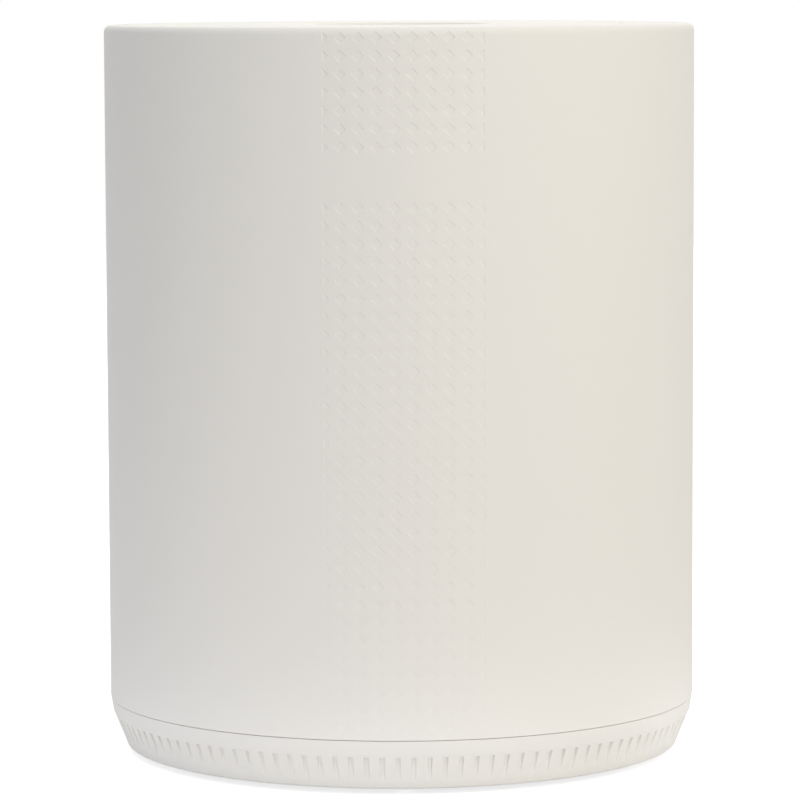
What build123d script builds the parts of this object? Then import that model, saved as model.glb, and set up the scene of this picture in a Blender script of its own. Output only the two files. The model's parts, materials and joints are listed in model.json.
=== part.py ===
from build123d import *
from math import acos, atan2, cos, degrees, pi, radians, sin, tan
import os

# Electric food waste composter: an upright drum with a flush top, a lid that lifts off, a bucket
# with a grinder in a heated chamber, a gear drive below it, and a fan that blows the chamber's air
# through a carbon filter at the back. Millimetres, +Z up, front towards -Y, origin on the floor at
# the centre of the drum.

# ---- driving dimensions ----------------------------------------------------------------------
drum_radius = 147.5        # outside of the drum
top_z = 365.0              # flat top of the drum, deck and lid
foot_height = 3.0          # the skirt hangs this far above the floor
seam_z = 27.5              # shadow gap between skirt and drum
seam_gap = 0.5
wall = 3.0                 # moulded wall
top_edge_radius = 4.0
lower_bend_radius = 6.0    # the drum turns in above the seam
lower_bend_depth = 1.4

skirt_top_radius = 146.0
skirt_bottom_radius = 139.0
skirt_edge_radius = 2.8
groove_count = 120
groove_width = 2.4
groove_depth = 1.1
groove_low_z = 9.2
groove_high_z = 19.7

deck_radius = 138.0        # outer edge of the top deck
opening_radius = 112.0     # the hole that the lid closes
ledge_radius = 103.5       # the seat under the lid's gasket
ledge_z = 320.0
collar_low_z = 317.0
lid_radius = 111.2
deck_gap = 0.2
top_chamfer = 0.8

chamber_radius = 101.0     # inside of the heated chamber
chamber_wall = 1.5
chamber_floor_z = 88.0
chamber_high_z = 315.0
bucket_radius = 94.0       # outside of the bucket
bucket_wall = 2.5
bucket_low_z = 102.0
bucket_high_z = 290.0
bail_pivot_z = 295.0
bail_radius = 84.0
bail_wire = 2.5

gear_module = 2.0
pressure_angle = radians(20)
backlash = 0.25
output_teeth = 56
wheel_teeth = 42
pinion_teeth = 14
motor_orbit = 120.0        # the motor stands beside the chamber
motor_angle = 225.0
motor_radius = 16.5
gearbox_low_z = 32.0
gearbox_high_z = 60.0

filter_half_width = 53.0   # rear window for the filter drawer
filter_low_z = 124.0
filter_high_z = 264.0
inlet_z = 57.0             # middle of the power inlet

button_y = -124.5
button_radius = 7.5
button_travel = 1.5
bolt_travel = 6.0
knob_swing = 60.0
bolt_low_z = 335.0
bolt_high_z = 341.0
bolt_half_width = 6.0

running = 0.05             # radial running clearance
seated = 0.02              # radial clearance of a piece pressed on a shaft or in a bore

inner_radius = drum_radius - wall
chamber_outer = chamber_radius + chamber_wall
bucket_inner = bucket_radius - bucket_wall
skirt_slope = degrees(atan2(skirt_top_radius - skirt_bottom_radius, seam_z - foot_height))

os.makedirs("parts", exist_ok=True)


# ---- helpers ---------------------------------------------------------------------------------
def write(piece, name):
    """Label a finished piece and write its STEP file."""
    piece.part.label = name
    export_step(piece.part, f"parts/{name}.step")


def tube(outer, inner, low, high, centre=(0, 0), mode=Mode.ADD):
    """A ring, or a plain disc when inner is 0, upright at centre."""
    with BuildSketch(Plane((centre[0], centre[1], low))) as ring:
        Circle(outer)
        if inner > 0:
            Circle(inner, mode=Mode.SUBTRACT)
    extrude(ring.sketch, amount=high - low, mode=mode)


def block(x, y, z, mode=Mode.ADD):
    """A box between the two limits given for each axis."""
    middle = ((x[0] + x[1]) / 2, (y[0] + y[1]) / 2, (z[0] + z[1]) / 2)
    with Locations(middle):
        Box(x[1] - x[0], y[1] - y[0], z[1] - z[0], mode=mode)


def turned(points, mode=Mode.ADD):
    """A closed outline of (radius, height) points turned about the drum's axis."""
    with BuildSketch(Plane.XZ) as outline:
        with BuildLine():
            Polyline(*points, close=True)
        make_face()
    revolve(outline.sketch, axis=Axis.Z, mode=mode)


def rounded_window(half_width, low, high, corner, mode=Mode.SUBTRACT):
    """A rounded rectangle through the back wall of the drum."""
    start = Plane(origin=(0, 90, (low + high) / 2), x_dir=(1, 0, 0), z_dir=(0, 1, 0))
    with BuildSketch(start) as window:
        RectangleRounded(2 * half_width, high - low, corner)
    extrude(window.sketch, amount=90, mode=mode)


def polar(radius, angle):
    """The point at a radius and an angle in degrees."""
    return (radius * cos(radians(angle)), radius * sin(radians(angle)))


def gear(teeth, addendum, turn, centre, low, high):
    """An involute spur gear with one tooth centred on the angle turn, in degrees."""
    pitch = gear_module * teeth / 2
    base = pitch * cos(pressure_angle)
    tip = pitch + addendum
    root = pitch - 1.25 * gear_module
    start = max(base, root)

    def half_angle(radius):
        at_radius = acos(min(1.0, base / radius))
        at_pitch = tan(pressure_angle) - pressure_angle
        thickness = pi / (2 * teeth) - backlash / (4 * pitch)
        return degrees(thickness + at_pitch - tan(at_radius) + at_radius)

    with BuildSketch(Plane((centre[0], centre[1], low))) as outline:
        with BuildLine():
            for tooth in range(teeth):
                middle = turn + 360 * tooth / teeth
                following = middle + 360 / teeth - half_angle(start)
                half_way = (start + tip) / 2
                rising = [polar(r, middle - half_angle(r)) for r in (start, half_way, tip)]
                falling = [polar(r, middle + half_angle(r)) for r in (tip, half_way, start)]
                ThreePointArc(*rising)
                Line(rising[2], falling[0])
                ThreePointArc(*falling)
                if root < base:
                    ends = [polar(root, middle + half_angle(start)), polar(root, following)]
                    Polyline(falling[2], ends[0], ends[1], polar(start, following))
                else:
                    Line(falling[2], polar(start, following))
        make_face()
    extrude(outline.sketch, amount=high - low)


# ---- casing ----------------------------------------------------------------------------------
foot_orbit = 112.0
foot_radius = 10.0
stem_radius = 4.0
pan_radius = 133.7
pan_high_z = foot_height + wall
pan_screw_orbit = 129.0
sleeve_screw_orbit = 137.0
flange_radius = 133.0      # the drum's inward foot, screwed to the skirt's shelf
foot_places = PolarLocations(foot_orbit, 4, start_angle=45)
screw_count = 6

# A shallow bare field above the power inlet follows the drum's curve.
plate_z = 97.0
plate_depth = 0.5
with BuildPart() as plate_field:
    start = Plane(origin=(0, 60, plate_z), x_dir=(1, 0, 0), z_dir=(0, 1, 0))
    with BuildSketch(start) as plate_outline:
        RectangleRounded(64, 26, 3)
    extrude(plate_outline.sketch, amount=100)
    tube(drum_radius - plate_depth, 0, plate_z - 40, plate_z + 40, mode=Mode.SUBTRACT)

# The drum: one moulded sleeve with a rebate for the deck and windows at the back.
drum_low_z = seam_z + seam_gap / 2
rebate_z = top_z - wall - 0.3
deck_seat_radius = deck_radius - 4
inlet_window = (16.4, 12.4)
screw_hole = 1.55
with BuildPart() as outer_sleeve:
    with BuildSketch(Plane.XZ) as sleeve_profile:
        with BuildLine():
            lip = (drum_radius - lower_bend_depth, drum_low_z)
            bend_drop = (lower_bend_radius**2 - (lower_bend_radius - lower_bend_depth) ** 2) ** 0.5
            bend_top = (drum_radius, drum_low_z + bend_drop)
            edge_start = (drum_radius, top_z - top_edge_radius)
            edge_end = (drum_radius - top_edge_radius, top_z)
            flange_z = drum_low_z + wall
            RadiusArc(lip, bend_top, -lower_bend_radius)
            Line(bend_top, edge_start)
            RadiusArc(edge_start, edge_end, -top_edge_radius)
            Polyline(
                edge_end,
                (deck_radius + deck_gap, top_z),
                (deck_radius + deck_gap, rebate_z),
                (deck_seat_radius, rebate_z),
                (deck_seat_radius, rebate_z - wall),
                (inner_radius, rebate_z - wall),
                (inner_radius, flange_z),
                (flange_radius, flange_z),
                (flange_radius, drum_low_z),
                lip,
            )
        make_face()
    revolve(axis=Axis.Z)
    rounded_window(filter_half_width, filter_low_z, filter_high_z, 8)
    rounded_window(inlet_window[0], inlet_z - inlet_window[1], inlet_z + inlet_window[1], 0.8)
    with PolarLocations(sleeve_screw_orbit, screw_count):
        Cylinder(screw_hole, 2 * flange_z, mode=Mode.SUBTRACT)
    add(plate_field.part, mode=Mode.SUBTRACT)
write(outer_sleeve, "outer_sleeve")

# The tapered skirt with its ring of fine upright grooves.
skirt_high_z = seam_z - seam_gap / 2
skirt_neck_radius = 142.0  # the shelf stands this far inside the skirt's top edge
shelf_radius = 132.0
shelf_high_z = seam_z + 0.2
shelf_low_z = shelf_high_z - wall
pan_seat_radius = 124.0    # the ring that the pan is screwed to
pan_seat_low_z = pan_high_z + 0.2
pan_seat_high_z = pan_seat_low_z + 2.5
pan_recess_radius = 134.0
with BuildPart() as base_skirt:
    with BuildSketch(Plane.XZ) as skirt_profile:
        with BuildLine():
            Polyline(
                (pan_recess_radius, foot_height),
                (skirt_bottom_radius, foot_height),
                (skirt_top_radius, skirt_high_z),
                (skirt_neck_radius, skirt_high_z),
                (skirt_neck_radius, shelf_high_z),
                (shelf_radius, shelf_high_z),
                (shelf_radius, shelf_low_z),
                (skirt_neck_radius - 0.8, shelf_low_z),
                (pan_recess_radius + 2.4, pan_seat_high_z),
                (pan_seat_radius, pan_seat_high_z),
                (pan_seat_radius, pan_seat_low_z),
                (pan_recess_radius, pan_seat_low_z),
                close=True,
            )
        make_face()
        lower_corner = skirt_profile.vertices().group_by(Axis.Y)[0].sort_by(Axis.X)[-1]
        fillet(lower_corner, skirt_edge_radius)
    revolve(axis=Axis.Z)
    groove_z = (groove_low_z + groove_high_z) / 2
    groove_share = (groove_z - foot_height) / (skirt_high_z - foot_height)
    groove_orbit = skirt_bottom_radius + (skirt_top_radius - skirt_bottom_radius) * groove_share
    groove_length = groove_high_z - groove_low_z
    groove_box = (2 * groove_depth, groove_width, groove_length)
    with Locations((0, 0, groove_z)):
        with PolarLocations(groove_orbit, groove_count, start_angle=180 / groove_count):
            Box(*groove_box, rotation=(0, skirt_slope, 0), mode=Mode.SUBTRACT)
    with PolarLocations(pan_screw_orbit, screw_count, start_angle=30):
        Cylinder(screw_hole + running, 24, mode=Mode.SUBTRACT)
    with Locations((0, 0, seam_z)):
        with PolarLocations(sleeve_screw_orbit, screw_count):
            Cylinder(screw_hole + running, 12, mode=Mode.SUBTRACT)
write(base_skirt, "base_skirt")

# The pan closes the underside; posts carry the gearbox and the main board.
motor_place = polar(motor_orbit, motor_angle)
output_to_idler = gear_module * (output_teeth + pinion_teeth) / 2
idler_to_motor = gear_module * (wheel_teeth + pinion_teeth) / 2
idler_lead = degrees(
    acos(
        (output_to_idler**2 + motor_orbit**2 - idler_to_motor**2)
        / (2 * output_to_idler * motor_orbit)
    )
)
idler_angle = motor_angle + idler_lead
idler_place = polar(output_to_idler, idler_angle)
motor_bearing = degrees(atan2(motor_place[1] - idler_place[1], motor_place[0] - idler_place[0]))
gearbox_posts = [polar(56, 20), polar(56, 100), polar(56, 170), polar(100, 247)]
board_x = (14.0, 94.0)
board_y = (28.0, 84.0)
board_z = 14.0
post_inset = 4.0
board_post_x = (board_x[0] + post_inset, board_x[1] - post_inset)
board_post_y = (board_y[0] + post_inset, board_y[1] - post_inset)
board_posts = [(x, y) for x in board_post_x for y in board_post_y]
intake_middle = (38.0, -62.0)
intake_rows = 7
screw_head_radius = 3.0
upright = (Align.CENTER, Align.CENTER, Align.MIN)
hanging = (Align.CENTER, Align.CENTER, Align.MAX)
with BuildPart() as base_pan:
    tube(pan_radius, 0, foot_height, pan_high_z)
    with Locations(*[(x, y, pan_high_z) for x, y in gearbox_posts]):
        Cylinder(5, gearbox_low_z - pan_high_z, align=upright)
    with Locations(*[(x, y, pan_high_z) for x, y in board_posts]):
        Cylinder(3, board_z - pan_high_z, align=upright)
    with foot_places:
        Cylinder(stem_radius + running, 20, mode=Mode.SUBTRACT)
    with PolarLocations(pan_screw_orbit, screw_count, start_angle=30):
        Cylinder(1.7, 20, mode=Mode.SUBTRACT)
    with Locations((0, 0, foot_height)):
        with PolarLocations(pan_screw_orbit, screw_count, start_angle=30):
            Cylinder(screw_head_radius + 0.2, 3.6, mode=Mode.SUBTRACT)
    with BuildSketch(Plane((*intake_middle, 0))) as intake:
        with GridLocations(0, 6.5, 1, intake_rows):
            SlotOverall(46, 3)
    extrude(intake.sketch, amount=20, mode=Mode.SUBTRACT)
write(base_pan, "base_pan")

with BuildPart() as feet:
    with foot_places:
        with BuildSketch(Plane.XZ) as foot_profile:
            with BuildLine():
                Polyline(
                    (0, 0),
                    (foot_radius - 1, 0),
                    (foot_radius, 1),
                    (foot_radius, foot_height),
                    (stem_radius, foot_height),
                    (stem_radius, pan_high_z + running),
                    (stem_radius + 1.2, pan_high_z + running),
                    (stem_radius - 1, pan_high_z + 3),
                    (0, pan_high_z + 3),
                    close=True,
                )
            make_face()
        foot = revolve(foot_profile.sketch.face(), axis=Axis.Z, mode=Mode.PRIVATE)
    with foot_places:
        add(foot)
write(feet, "feet")

with BuildPart() as pan_screws:
    with Locations((0, 0, foot_height + 0.2)):
        with PolarLocations(pan_screw_orbit, screw_count, start_angle=30):
            Cylinder(screw_head_radius, 1.6, align=upright)
            Cylinder(1.5, 7, align=upright)
write(pan_screws, "pan_screws")

with BuildPart() as sleeve_screws:
    with Locations((0, 0, seam_z - 5)):
        with PolarLocations(sleeve_screw_orbit, screw_count):
            Cylinder(2.5, 2.1, align=upright)
            Cylinder(1.45, 9, align=upright)
write(sleeve_screws, "sleeve_screws")

# The deck: a flat ring with a collar that guides the lid and a ledge for its gasket.
deck_low_z = top_z - wall
light_angles = (-80.0, -77.0, -74.0)
light_radius = 1.5
board_low_z = 350.0
board_thickness = 1.6
board_high_z = board_low_z + board_thickness
stud_x = 30.0
with BuildPart() as top_deck:
    turned(
        [
            (ledge_radius, collar_low_z),
            (opening_radius + wall, collar_low_z),
            (opening_radius + wall, deck_low_z),
            (deck_radius, deck_low_z),
            (deck_radius, top_z - top_chamfer / 2),
            (deck_radius - top_chamfer / 2, top_z),
            (opening_radius + top_chamfer, top_z),
            (opening_radius, top_z - top_chamfer),
            (opening_radius, ledge_z),
            (ledge_radius, ledge_z),
        ]
    )
    with Locations((stud_x, button_y, board_high_z), (-stud_x, button_y, board_high_z)):
        Cylinder(2.5, deck_low_z - board_high_z, align=upright)
    pocket_z = (bolt_low_z - 0.5, bolt_high_z + 0.5)
    pocket_y = (-bolt_half_width - 0.5, bolt_half_width + 0.5)
    block((opening_radius - 5, opening_radius + wall + 5), pocket_y, pocket_z, mode=Mode.SUBTRACT)
    block((-opening_radius - wall - 5, 5 - opening_radius), pocket_y, pocket_z, mode=Mode.SUBTRACT)
    with Locations((0, button_y, top_z)):
        Cylinder(button_radius + 0.2, 20, mode=Mode.SUBTRACT)
    with Locations(*[(*polar(-button_y, angle), top_z) for angle in light_angles]):
        Cylinder(light_radius + running, 20, mode=Mode.SUBTRACT)
write(top_deck, "top_deck")

# ---- controls --------------------------------------------------------------------------------
with BuildPart() as status_lights:
    with Locations(*[(*polar(-button_y, angle), deck_low_z - 2) for angle in light_angles]):
        Cylinder(light_radius, wall + 1.8, align=upright)
write(status_lights, "status_lights")

button_flange_z = (deck_low_z - 3.6, deck_low_z - 1)
with BuildPart() as start_button:
    tube(button_radius, 0, button_flange_z[1], top_z, centre=(0, button_y))
    fillet(start_button.edges().filter_by(GeomType.CIRCLE).group_by(Axis.Z)[-1], 0.6)
    tube(button_radius + 1.2, 0, *button_flange_z, centre=(0, button_y))
write(start_button, "start_button")

with BuildPart() as tact_switch:
    with Locations((0, button_y, board_high_z)):
        Box(7, 7, 3.6, align=upright)
        Cylinder(1.8, 5.1, align=upright)
write(tact_switch, "tact_switch")

with BuildPart() as control_board:
    block((-36, 36), (button_y - 8, button_y + 8), (board_low_z, board_high_z))
    block((-22, -12), (button_y - 5, button_y + 5), (board_low_z - 2, board_low_z))
write(control_board, "control_board")

sensor_y = -opening_radius - wall
with BuildPart() as lid_sensor:
    block((-6, 6), (sensor_y - 4.2, sensor_y - 0.1), (341, 349))
write(lid_sensor, "lid_sensor")

# ---- lid -------------------------------------------------------------------------------------
dish_radius = 46.0
dish_floor_radius = 39.0
dish_floor_z = 349.0
lid_low_z = 328.2
liner_low_z = 325.0
gasket_low_z = ledge_z + 0.2
knob_radius = 37.5
knob_shaft = 6.0
cam_low_z = 341.4
cam_high_z = 344.4
pin_rest = 24.0
pin_radius = 2.4
magnet_y = -102.0
magnet_z = (345.0, 350.0)
bolt_gap = 0.15
window_y = (-bolt_half_width - bolt_gap, bolt_half_width + bolt_gap)
window_z = (bolt_low_z - bolt_gap, bolt_high_z + bolt_gap)
with BuildPart() as lid_shell:
    turned(
        [
            (knob_shaft + running, dish_floor_z - wall),
            (dish_floor_radius + 2, dish_floor_z - wall),
            (dish_radius + 2, top_z - wall),
            (lid_radius - wall, top_z - wall),
            (lid_radius - wall, lid_low_z),
            (lid_radius, lid_low_z),
            (lid_radius, top_z - top_chamfer),
            (lid_radius - top_chamfer, top_z),
            (dish_radius, top_z),
            (dish_floor_radius, dish_floor_z),
            (knob_shaft + running, dish_floor_z),
        ]
    )
    top_rims = lid_shell.edges().filter_by(GeomType.CIRCLE).group_by(Axis.Z)[-1]
    fillet(top_rims.sort_by(SortBy.RADIUS)[0], 1.5)
    block((lid_radius - 8, lid_radius + 2), window_y, window_z, mode=Mode.SUBTRACT)
    block((-lid_radius - 2, 8 - lid_radius), window_y, window_z, mode=Mode.SUBTRACT)
write(lid_shell, "lid_shell")

with BuildPart() as lid_liner:
    tube(lid_radius - 0.4, 0, liner_low_z, lid_low_z)
    tube(6, 0, lid_low_z, magnet_z[0], centre=(0, magnet_y))
    for side in (-1, 1):
        rail_x = sorted((side * 46, side * 102))
        channel_x = sorted((side * 45, side * 103))
        channel_z = (bolt_low_z - 0.1, bolt_high_z + 9)
        block(rail_x, (-9.5, 9.5), (lid_low_z, bolt_high_z + 1))
        block(channel_x, window_y, channel_z, mode=Mode.SUBTRACT)
write(lid_liner, "lid_liner")

with BuildPart() as lid_gasket:
    turned(
        [
            (ledge_radius + 1.5, liner_low_z),
            (ledge_radius + 1.5, gasket_low_z + 2),
            (ledge_radius + 3.5, gasket_low_z),
            (ledge_radius + 5.5, gasket_low_z),
            (ledge_radius + 7, gasket_low_z + 2),
            (ledge_radius + 7, liner_low_z),
        ]
    )
write(lid_gasket, "lid_gasket")

with BuildPart() as lid_magnet:
    tube(4, 0, *magnet_z, centre=(0, magnet_y))
write(lid_magnet, "lid_magnet")

disc_z = (dish_floor_z + 0.3, dish_floor_z + 3.3)
with BuildPart() as lid_knob:
    tube(knob_radius, 0, *disc_z)
    with BuildSketch(Plane.XY.offset(disc_z[1])) as grip_outline:
        SlotOverall(2 * knob_radius - 6, 15)
    extrude(amount=top_z - 0.6 - disc_z[1], taper=3)
    fillet(lid_knob.edges().group_by(Axis.Z)[-1], 2.5)
    tube(knob_shaft, 0, cam_low_z, disc_z[0])
write(lid_knob, "lid_knob")

# The cam's two spiral slots push the bolts out as the knob turns.
with BuildPart() as lock_cam:
    tube(36, knob_shaft + seated, cam_low_z, cam_high_z)
    with BuildSketch(Plane.XY.offset(cam_low_z)) as cam_slots:
        for opposite in (0, 180):
            path = [
                polar(pin_rest + bolt_travel * share, opposite - knob_swing * share)
                for share in (0, 0.5, 1)
            ]
            SlotArc(ThreePointArc(*path, mode=Mode.PRIVATE), 2 * pin_radius + 0.4)
    extrude(cam_slots.sketch, amount=cam_high_z - cam_low_z, mode=Mode.SUBTRACT)
write(lock_cam, "lock_cam")

for side, name in ((-1, "lock_bolt_left"), (1, "lock_bolt_right")):
    with BuildPart() as lock_bolt:
        reach = sorted((side * 18, side * (lid_radius - 0.7)))
        block(reach, (-bolt_half_width, bolt_half_width), (bolt_low_z, bolt_high_z))
        tip = lock_bolt.edges().filter_by(Axis.Z).group_by(Axis.X)[0 if side < 0 else -1]
        chamfer(tip, 1.5)
        tube(pin_radius, 0, bolt_high_z, cam_high_z - 0.2, centre=(side * pin_rest, 0))
    write(lock_bolt, name)

# ---- heated chamber --------------------------------------------------------------------------
flange_thickness = 1.8
shaft_radius = 8.0
peg_orbit = 80.0
with BuildPart() as chamber_liner:
    turned(
        [
            (shaft_radius + 0.6, chamber_floor_z - 2),
            (chamber_outer, chamber_floor_z - 2),
            (chamber_outer, chamber_high_z),
            (opening_radius + 1, chamber_high_z),
            (opening_radius + 1, chamber_high_z + flange_thickness),
            (chamber_radius, chamber_high_z + flange_thickness),
            (chamber_radius, chamber_floor_z),
            (shaft_radius + 0.6, chamber_floor_z),
        ]
    )
    # Two pegs stop the bucket from turning with the grinder.
    with Locations((0, peg_orbit, chamber_floor_z), (0, -peg_orbit, chamber_floor_z)):
        Cylinder(3, 6, align=upright)
    block((-15, 15), (90, 110), (296, 310), mode=Mode.SUBTRACT)
write(chamber_liner, "chamber_liner")

with BuildPart() as chamber_insulation:
    tube(107, chamber_outer + 0.3, 92, 312)
    tube(motor_radius + 1.5, 0, 80, 128, centre=motor_place, mode=Mode.SUBTRACT)
    block((-20, 20), (80, 120), (275, 320), mode=Mode.SUBTRACT)
write(chamber_insulation, "chamber_insulation")

with BuildPart() as heater_plate:
    tube(98, 30, chamber_floor_z - 6, chamber_floor_z - 2.1)
write(heater_plate, "heater_plate")

with BuildPart() as heater_element:
    with BuildSketch(Plane.XZ) as element_section:
        with Locations((72, chamber_floor_z - 10.2)):
            Circle(4)
    revolve(axis=Axis.Z, revolution_arc=340)
write(heater_element, "heater_element")

with BuildPart() as thermostat:
    with Locations((46, 20, chamber_floor_z - 6.1)):
        Cylinder(8, 10, align=hanging)
write(thermostat, "thermostat")

# ---- bucket ----------------------------------------------------------------------------------
stub_radius = 6.0
bush_radius = 12.0
boss_low_z = 99.0
boss_high_z = 108.0
boss_radius = 20.0
foot_ring = (78.0, 82.0)
ear_x = (91.5, 94.5)
peg_slot = (-4.5, 4.5)
with BuildPart() as bucket:
    turned(
        [
            (bush_radius, boss_low_z),
            (boss_radius, boss_low_z),
            (boss_radius + 2, bucket_low_z),
            (foot_ring[0], bucket_low_z),
            (foot_ring[0], chamber_floor_z + 0.2),
            (foot_ring[1], chamber_floor_z + 0.2),
            (foot_ring[1], bucket_low_z),
            (bucket_radius - 5, bucket_low_z),
            (bucket_radius, bucket_low_z + 5),
            (bucket_radius, bucket_high_z - 3),
            (bucket_radius + 2.5, bucket_high_z - 3),
            (bucket_radius + 2.5, bucket_high_z),
            (bucket_inner, bucket_high_z),
            (bucket_inner, bucket_low_z + 7),
            (bucket_inner - 4, bucket_low_z + 3),
            (boss_radius, bucket_low_z + 3),
            (boss_radius, boss_high_z),
            (bush_radius, boss_high_z),
        ]
    )
    # Two ears carry the bail, and two slots in the foot ring take the chamber's pegs.
    for side in (-1, 1):
        one_ear = sorted((side * ear_x[0], side * ear_x[1]))
        block(one_ear, (-6, 6), (bucket_high_z - 1, bail_pivot_z + 4))
        with Locations(Location((side * 93, 0, bail_pivot_z), (0, 90, 0))):
            Cylinder(bail_wire + running, 12, mode=Mode.SUBTRACT)
        peg_reach = sorted((side * (peg_orbit - 10), side * (peg_orbit + 10)))
        block(peg_slot, peg_reach, (80, bucket_low_z - 1), mode=Mode.SUBTRACT)
write(bucket, "bucket")

with BuildPart() as bucket_bail:
    with BuildSketch(Plane.XZ) as bail_section:
        with Locations((bail_radius, bail_pivot_z)):
            Circle(bail_wire)
    revolve(axis=Axis.Z, revolution_arc=-180)
    for side in (-1, 1):
        with Locations((side * bail_radius, 0, bail_pivot_z)):
            Sphere(bail_wire)
        with Locations(Location((side * (bail_radius + 6.5), 0, bail_pivot_z), (0, 90, 0))):
            Cylinder(bail_wire, 13)
        with Locations(Location((side * (bail_radius + 12), 0, bail_pivot_z), (0, 90, 0))):
            Cylinder(bail_wire + 1.2, 2)
write(bucket_bail, "bucket_bail")

grip_span = 56.0
grip_radius = 5.5
with BuildPart() as bail_grip:
    start_side = Plane.XZ.rotated((0, 0, -90 - grip_span / 2))
    with BuildSketch(start_side) as grip_section:
        with Locations((bail_radius, bail_pivot_z)):
            Circle(grip_radius)
            Circle(bail_wire + seated, mode=Mode.SUBTRACT)
    revolve(axis=Axis.Z, revolution_arc=grip_span)
write(bail_grip, "bail_grip")

cutter_z = (123.0, 129.0)
with BuildPart() as fixed_cutters:
    with BuildSketch(Plane.XY.offset(cutter_z[0])) as cutter_outline:
        with BuildLine():
            Polyline((32, -2), (90.5, -7), (90.5, 7), (32, 2), close=True)
        make_face()
    cutter_height = cutter_z[1] - cutter_z[0]
    one_cutter = extrude(cutter_outline.sketch, amount=cutter_height, mode=Mode.PRIVATE)
    foot_pad = Pos(89, 0, 126) * Box(3, 20, 22, mode=Mode.PRIVATE)
    with PolarLocations(0, 3, start_angle=40):
        add(one_cutter)
        add(foot_pad)
    tube(200, bucket_inner - 0.05, 60, 200, mode=Mode.SUBTRACT)
write(fixed_cutters, "fixed_cutters")

bush_flange_z = (boss_high_z + seated, boss_high_z + 2)
with BuildPart() as shaft_bush:
    turned(
        [
            (stub_radius + running, boss_low_z),
            (bush_radius - seated, boss_low_z),
            (bush_radius - seated, bush_flange_z[0]),
            (bush_radius + 4, bush_flange_z[0]),
            (bush_radius + 4, bush_flange_z[1]),
            (stub_radius + running, bush_flange_z[1]),
        ]
    )
write(shaft_bush, "shaft_bush")

with BuildPart() as shaft_seal:
    tube(bush_radius, stub_radius + running, bush_flange_z[1] + seated, 113)
write(shaft_seal, "shaft_seal")

# ---- grinder ---------------------------------------------------------------------------------
hub_radius = 14.0
hub_low_z = 113.5
hub_high_z = 150.0
stub_low_z = 97.0
stud_radius = 5.0
with BuildPart() as grinder_hub:
    turned(
        [
            (0, stub_low_z),
            (stub_radius, stub_low_z),
            (stub_radius, hub_low_z),
            (hub_radius + 4, hub_low_z),
            (hub_radius + 4, hub_low_z + 2),
            (hub_radius, hub_low_z + 2),
            (hub_radius, hub_high_z - 3),
            (hub_radius - 3, hub_high_z),
            (stud_radius, hub_high_z),
            (stud_radius, hub_high_z + 9),
            (0, hub_high_z + 9),
        ]
    )
write(grinder_hub, "grinder_hub")

blade_thickness = 5.0
blade_tiers = ((115.6, 87.0, 0), (134.0, 74.0, 90))  # underside, reach, turn in degrees
with BuildPart() as grinder_blades:
    for low, reach, turn in blade_tiers:
        tube(hub_radius + 6, hub_radius + seated, low, low + blade_thickness)
        root_x = hub_radius + 3
        arm_points = [(root_x, -8), (reach - 16, -8), (reach, 3), (reach - 10, 6), (root_x, 8)]
        with BuildSketch(Plane.XY.offset(low)) as arm_outline:
            with BuildLine():
                Polyline(*arm_points, close=True)
            make_face()
        arm = extrude(arm_outline.sketch, amount=blade_thickness, mode=Mode.PRIVATE)
        with PolarLocations(0, 2, start_angle=turn):
            add(arm)
write(grinder_blades, "grinder_blades")

with BuildPart() as hub_nut:
    with BuildSketch(Plane.XY.offset(hub_high_z)) as nut_outline:
        RegularPolygon(10, 6)
        Circle(stud_radius + seated, mode=Mode.SUBTRACT)
    extrude(amount=7)
write(hub_nut, "hub_nut")

dog_low_z = chamber_floor_z + 0.6
dog_high_z = 95.5
dog_shaft = 5.0
lug_width = 6.0
lug_turns = (0, 120, 240)
coupling_radius = 21.0
coupling_low_z = 90.0
roof_low_z = dog_high_z + 0.5
with BuildPart() as grinder_coupling:
    tube(coupling_radius, stub_radius, roof_low_z, boss_low_z - 0.1)
    tube(coupling_radius, 9.5, coupling_low_z, roof_low_z)
    for turn in lug_turns:
        slot_place = (*polar(15, turn), (coupling_low_z + dog_high_z) / 2)
        with Locations(Location(slot_place, (0, 0, turn))):
            Box(20, lug_width + 0.8, dog_high_z + 1 - coupling_low_z, mode=Mode.SUBTRACT)
write(grinder_coupling, "grinder_coupling")

# ---- drive -----------------------------------------------------------------------------------
with BuildPart() as drive_dog:
    tube(9, dog_shaft + seated, dog_low_z, dog_high_z)
    for turn in lug_turns:
        with Locations(Location((*polar(13, turn), dog_low_z), (0, 0, turn))):
            Box(12, lug_width, dog_high_z - dog_low_z, align=upright)
write(drive_dog, "drive_dog")

with BuildPart() as output_shaft:
    tube(shaft_radius, 0, gearbox_low_z, dog_low_z)
    tube(dog_shaft, 0, dog_low_z, dog_high_z)
write(output_shaft, "output_shaft")

lower_gears = (37.0, 45.0)
upper_gears = (46.5, 54.5)
short_tooth = 0.8 * gear_module
pin_size = 4.0             # radius of the idler's pin
with BuildPart() as output_gear:
    gear(output_teeth, short_tooth, idler_angle, (0, 0), *lower_gears)
    tube(14, 0, lower_gears[1], lower_gears[1] + 6)
    tube(shaft_radius + seated, 0, 20, 80, mode=Mode.SUBTRACT)
    with PolarLocations(33, 6):
        Cylinder(9, 200, mode=Mode.SUBTRACT)
write(output_gear, "output_gear")

with BuildPart() as idler_gear:
    gear(
        pinion_teeth,
        gear_module,
        idler_angle + 180 + 180 / pinion_teeth,
        idler_place,
        lower_gears[0],
        upper_gears[0],
    )
    gear(wheel_teeth, short_tooth, motor_bearing, idler_place, *upper_gears)
    tube(pin_size + running, 0, 20, 80, centre=idler_place, mode=Mode.SUBTRACT)
write(idler_gear, "idler_gear")

with BuildPart() as idler_pin:
    tube(pin_size, 0, gearbox_low_z + 1, gearbox_high_z - 1, centre=idler_place)
write(idler_pin, "idler_pin")

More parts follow.
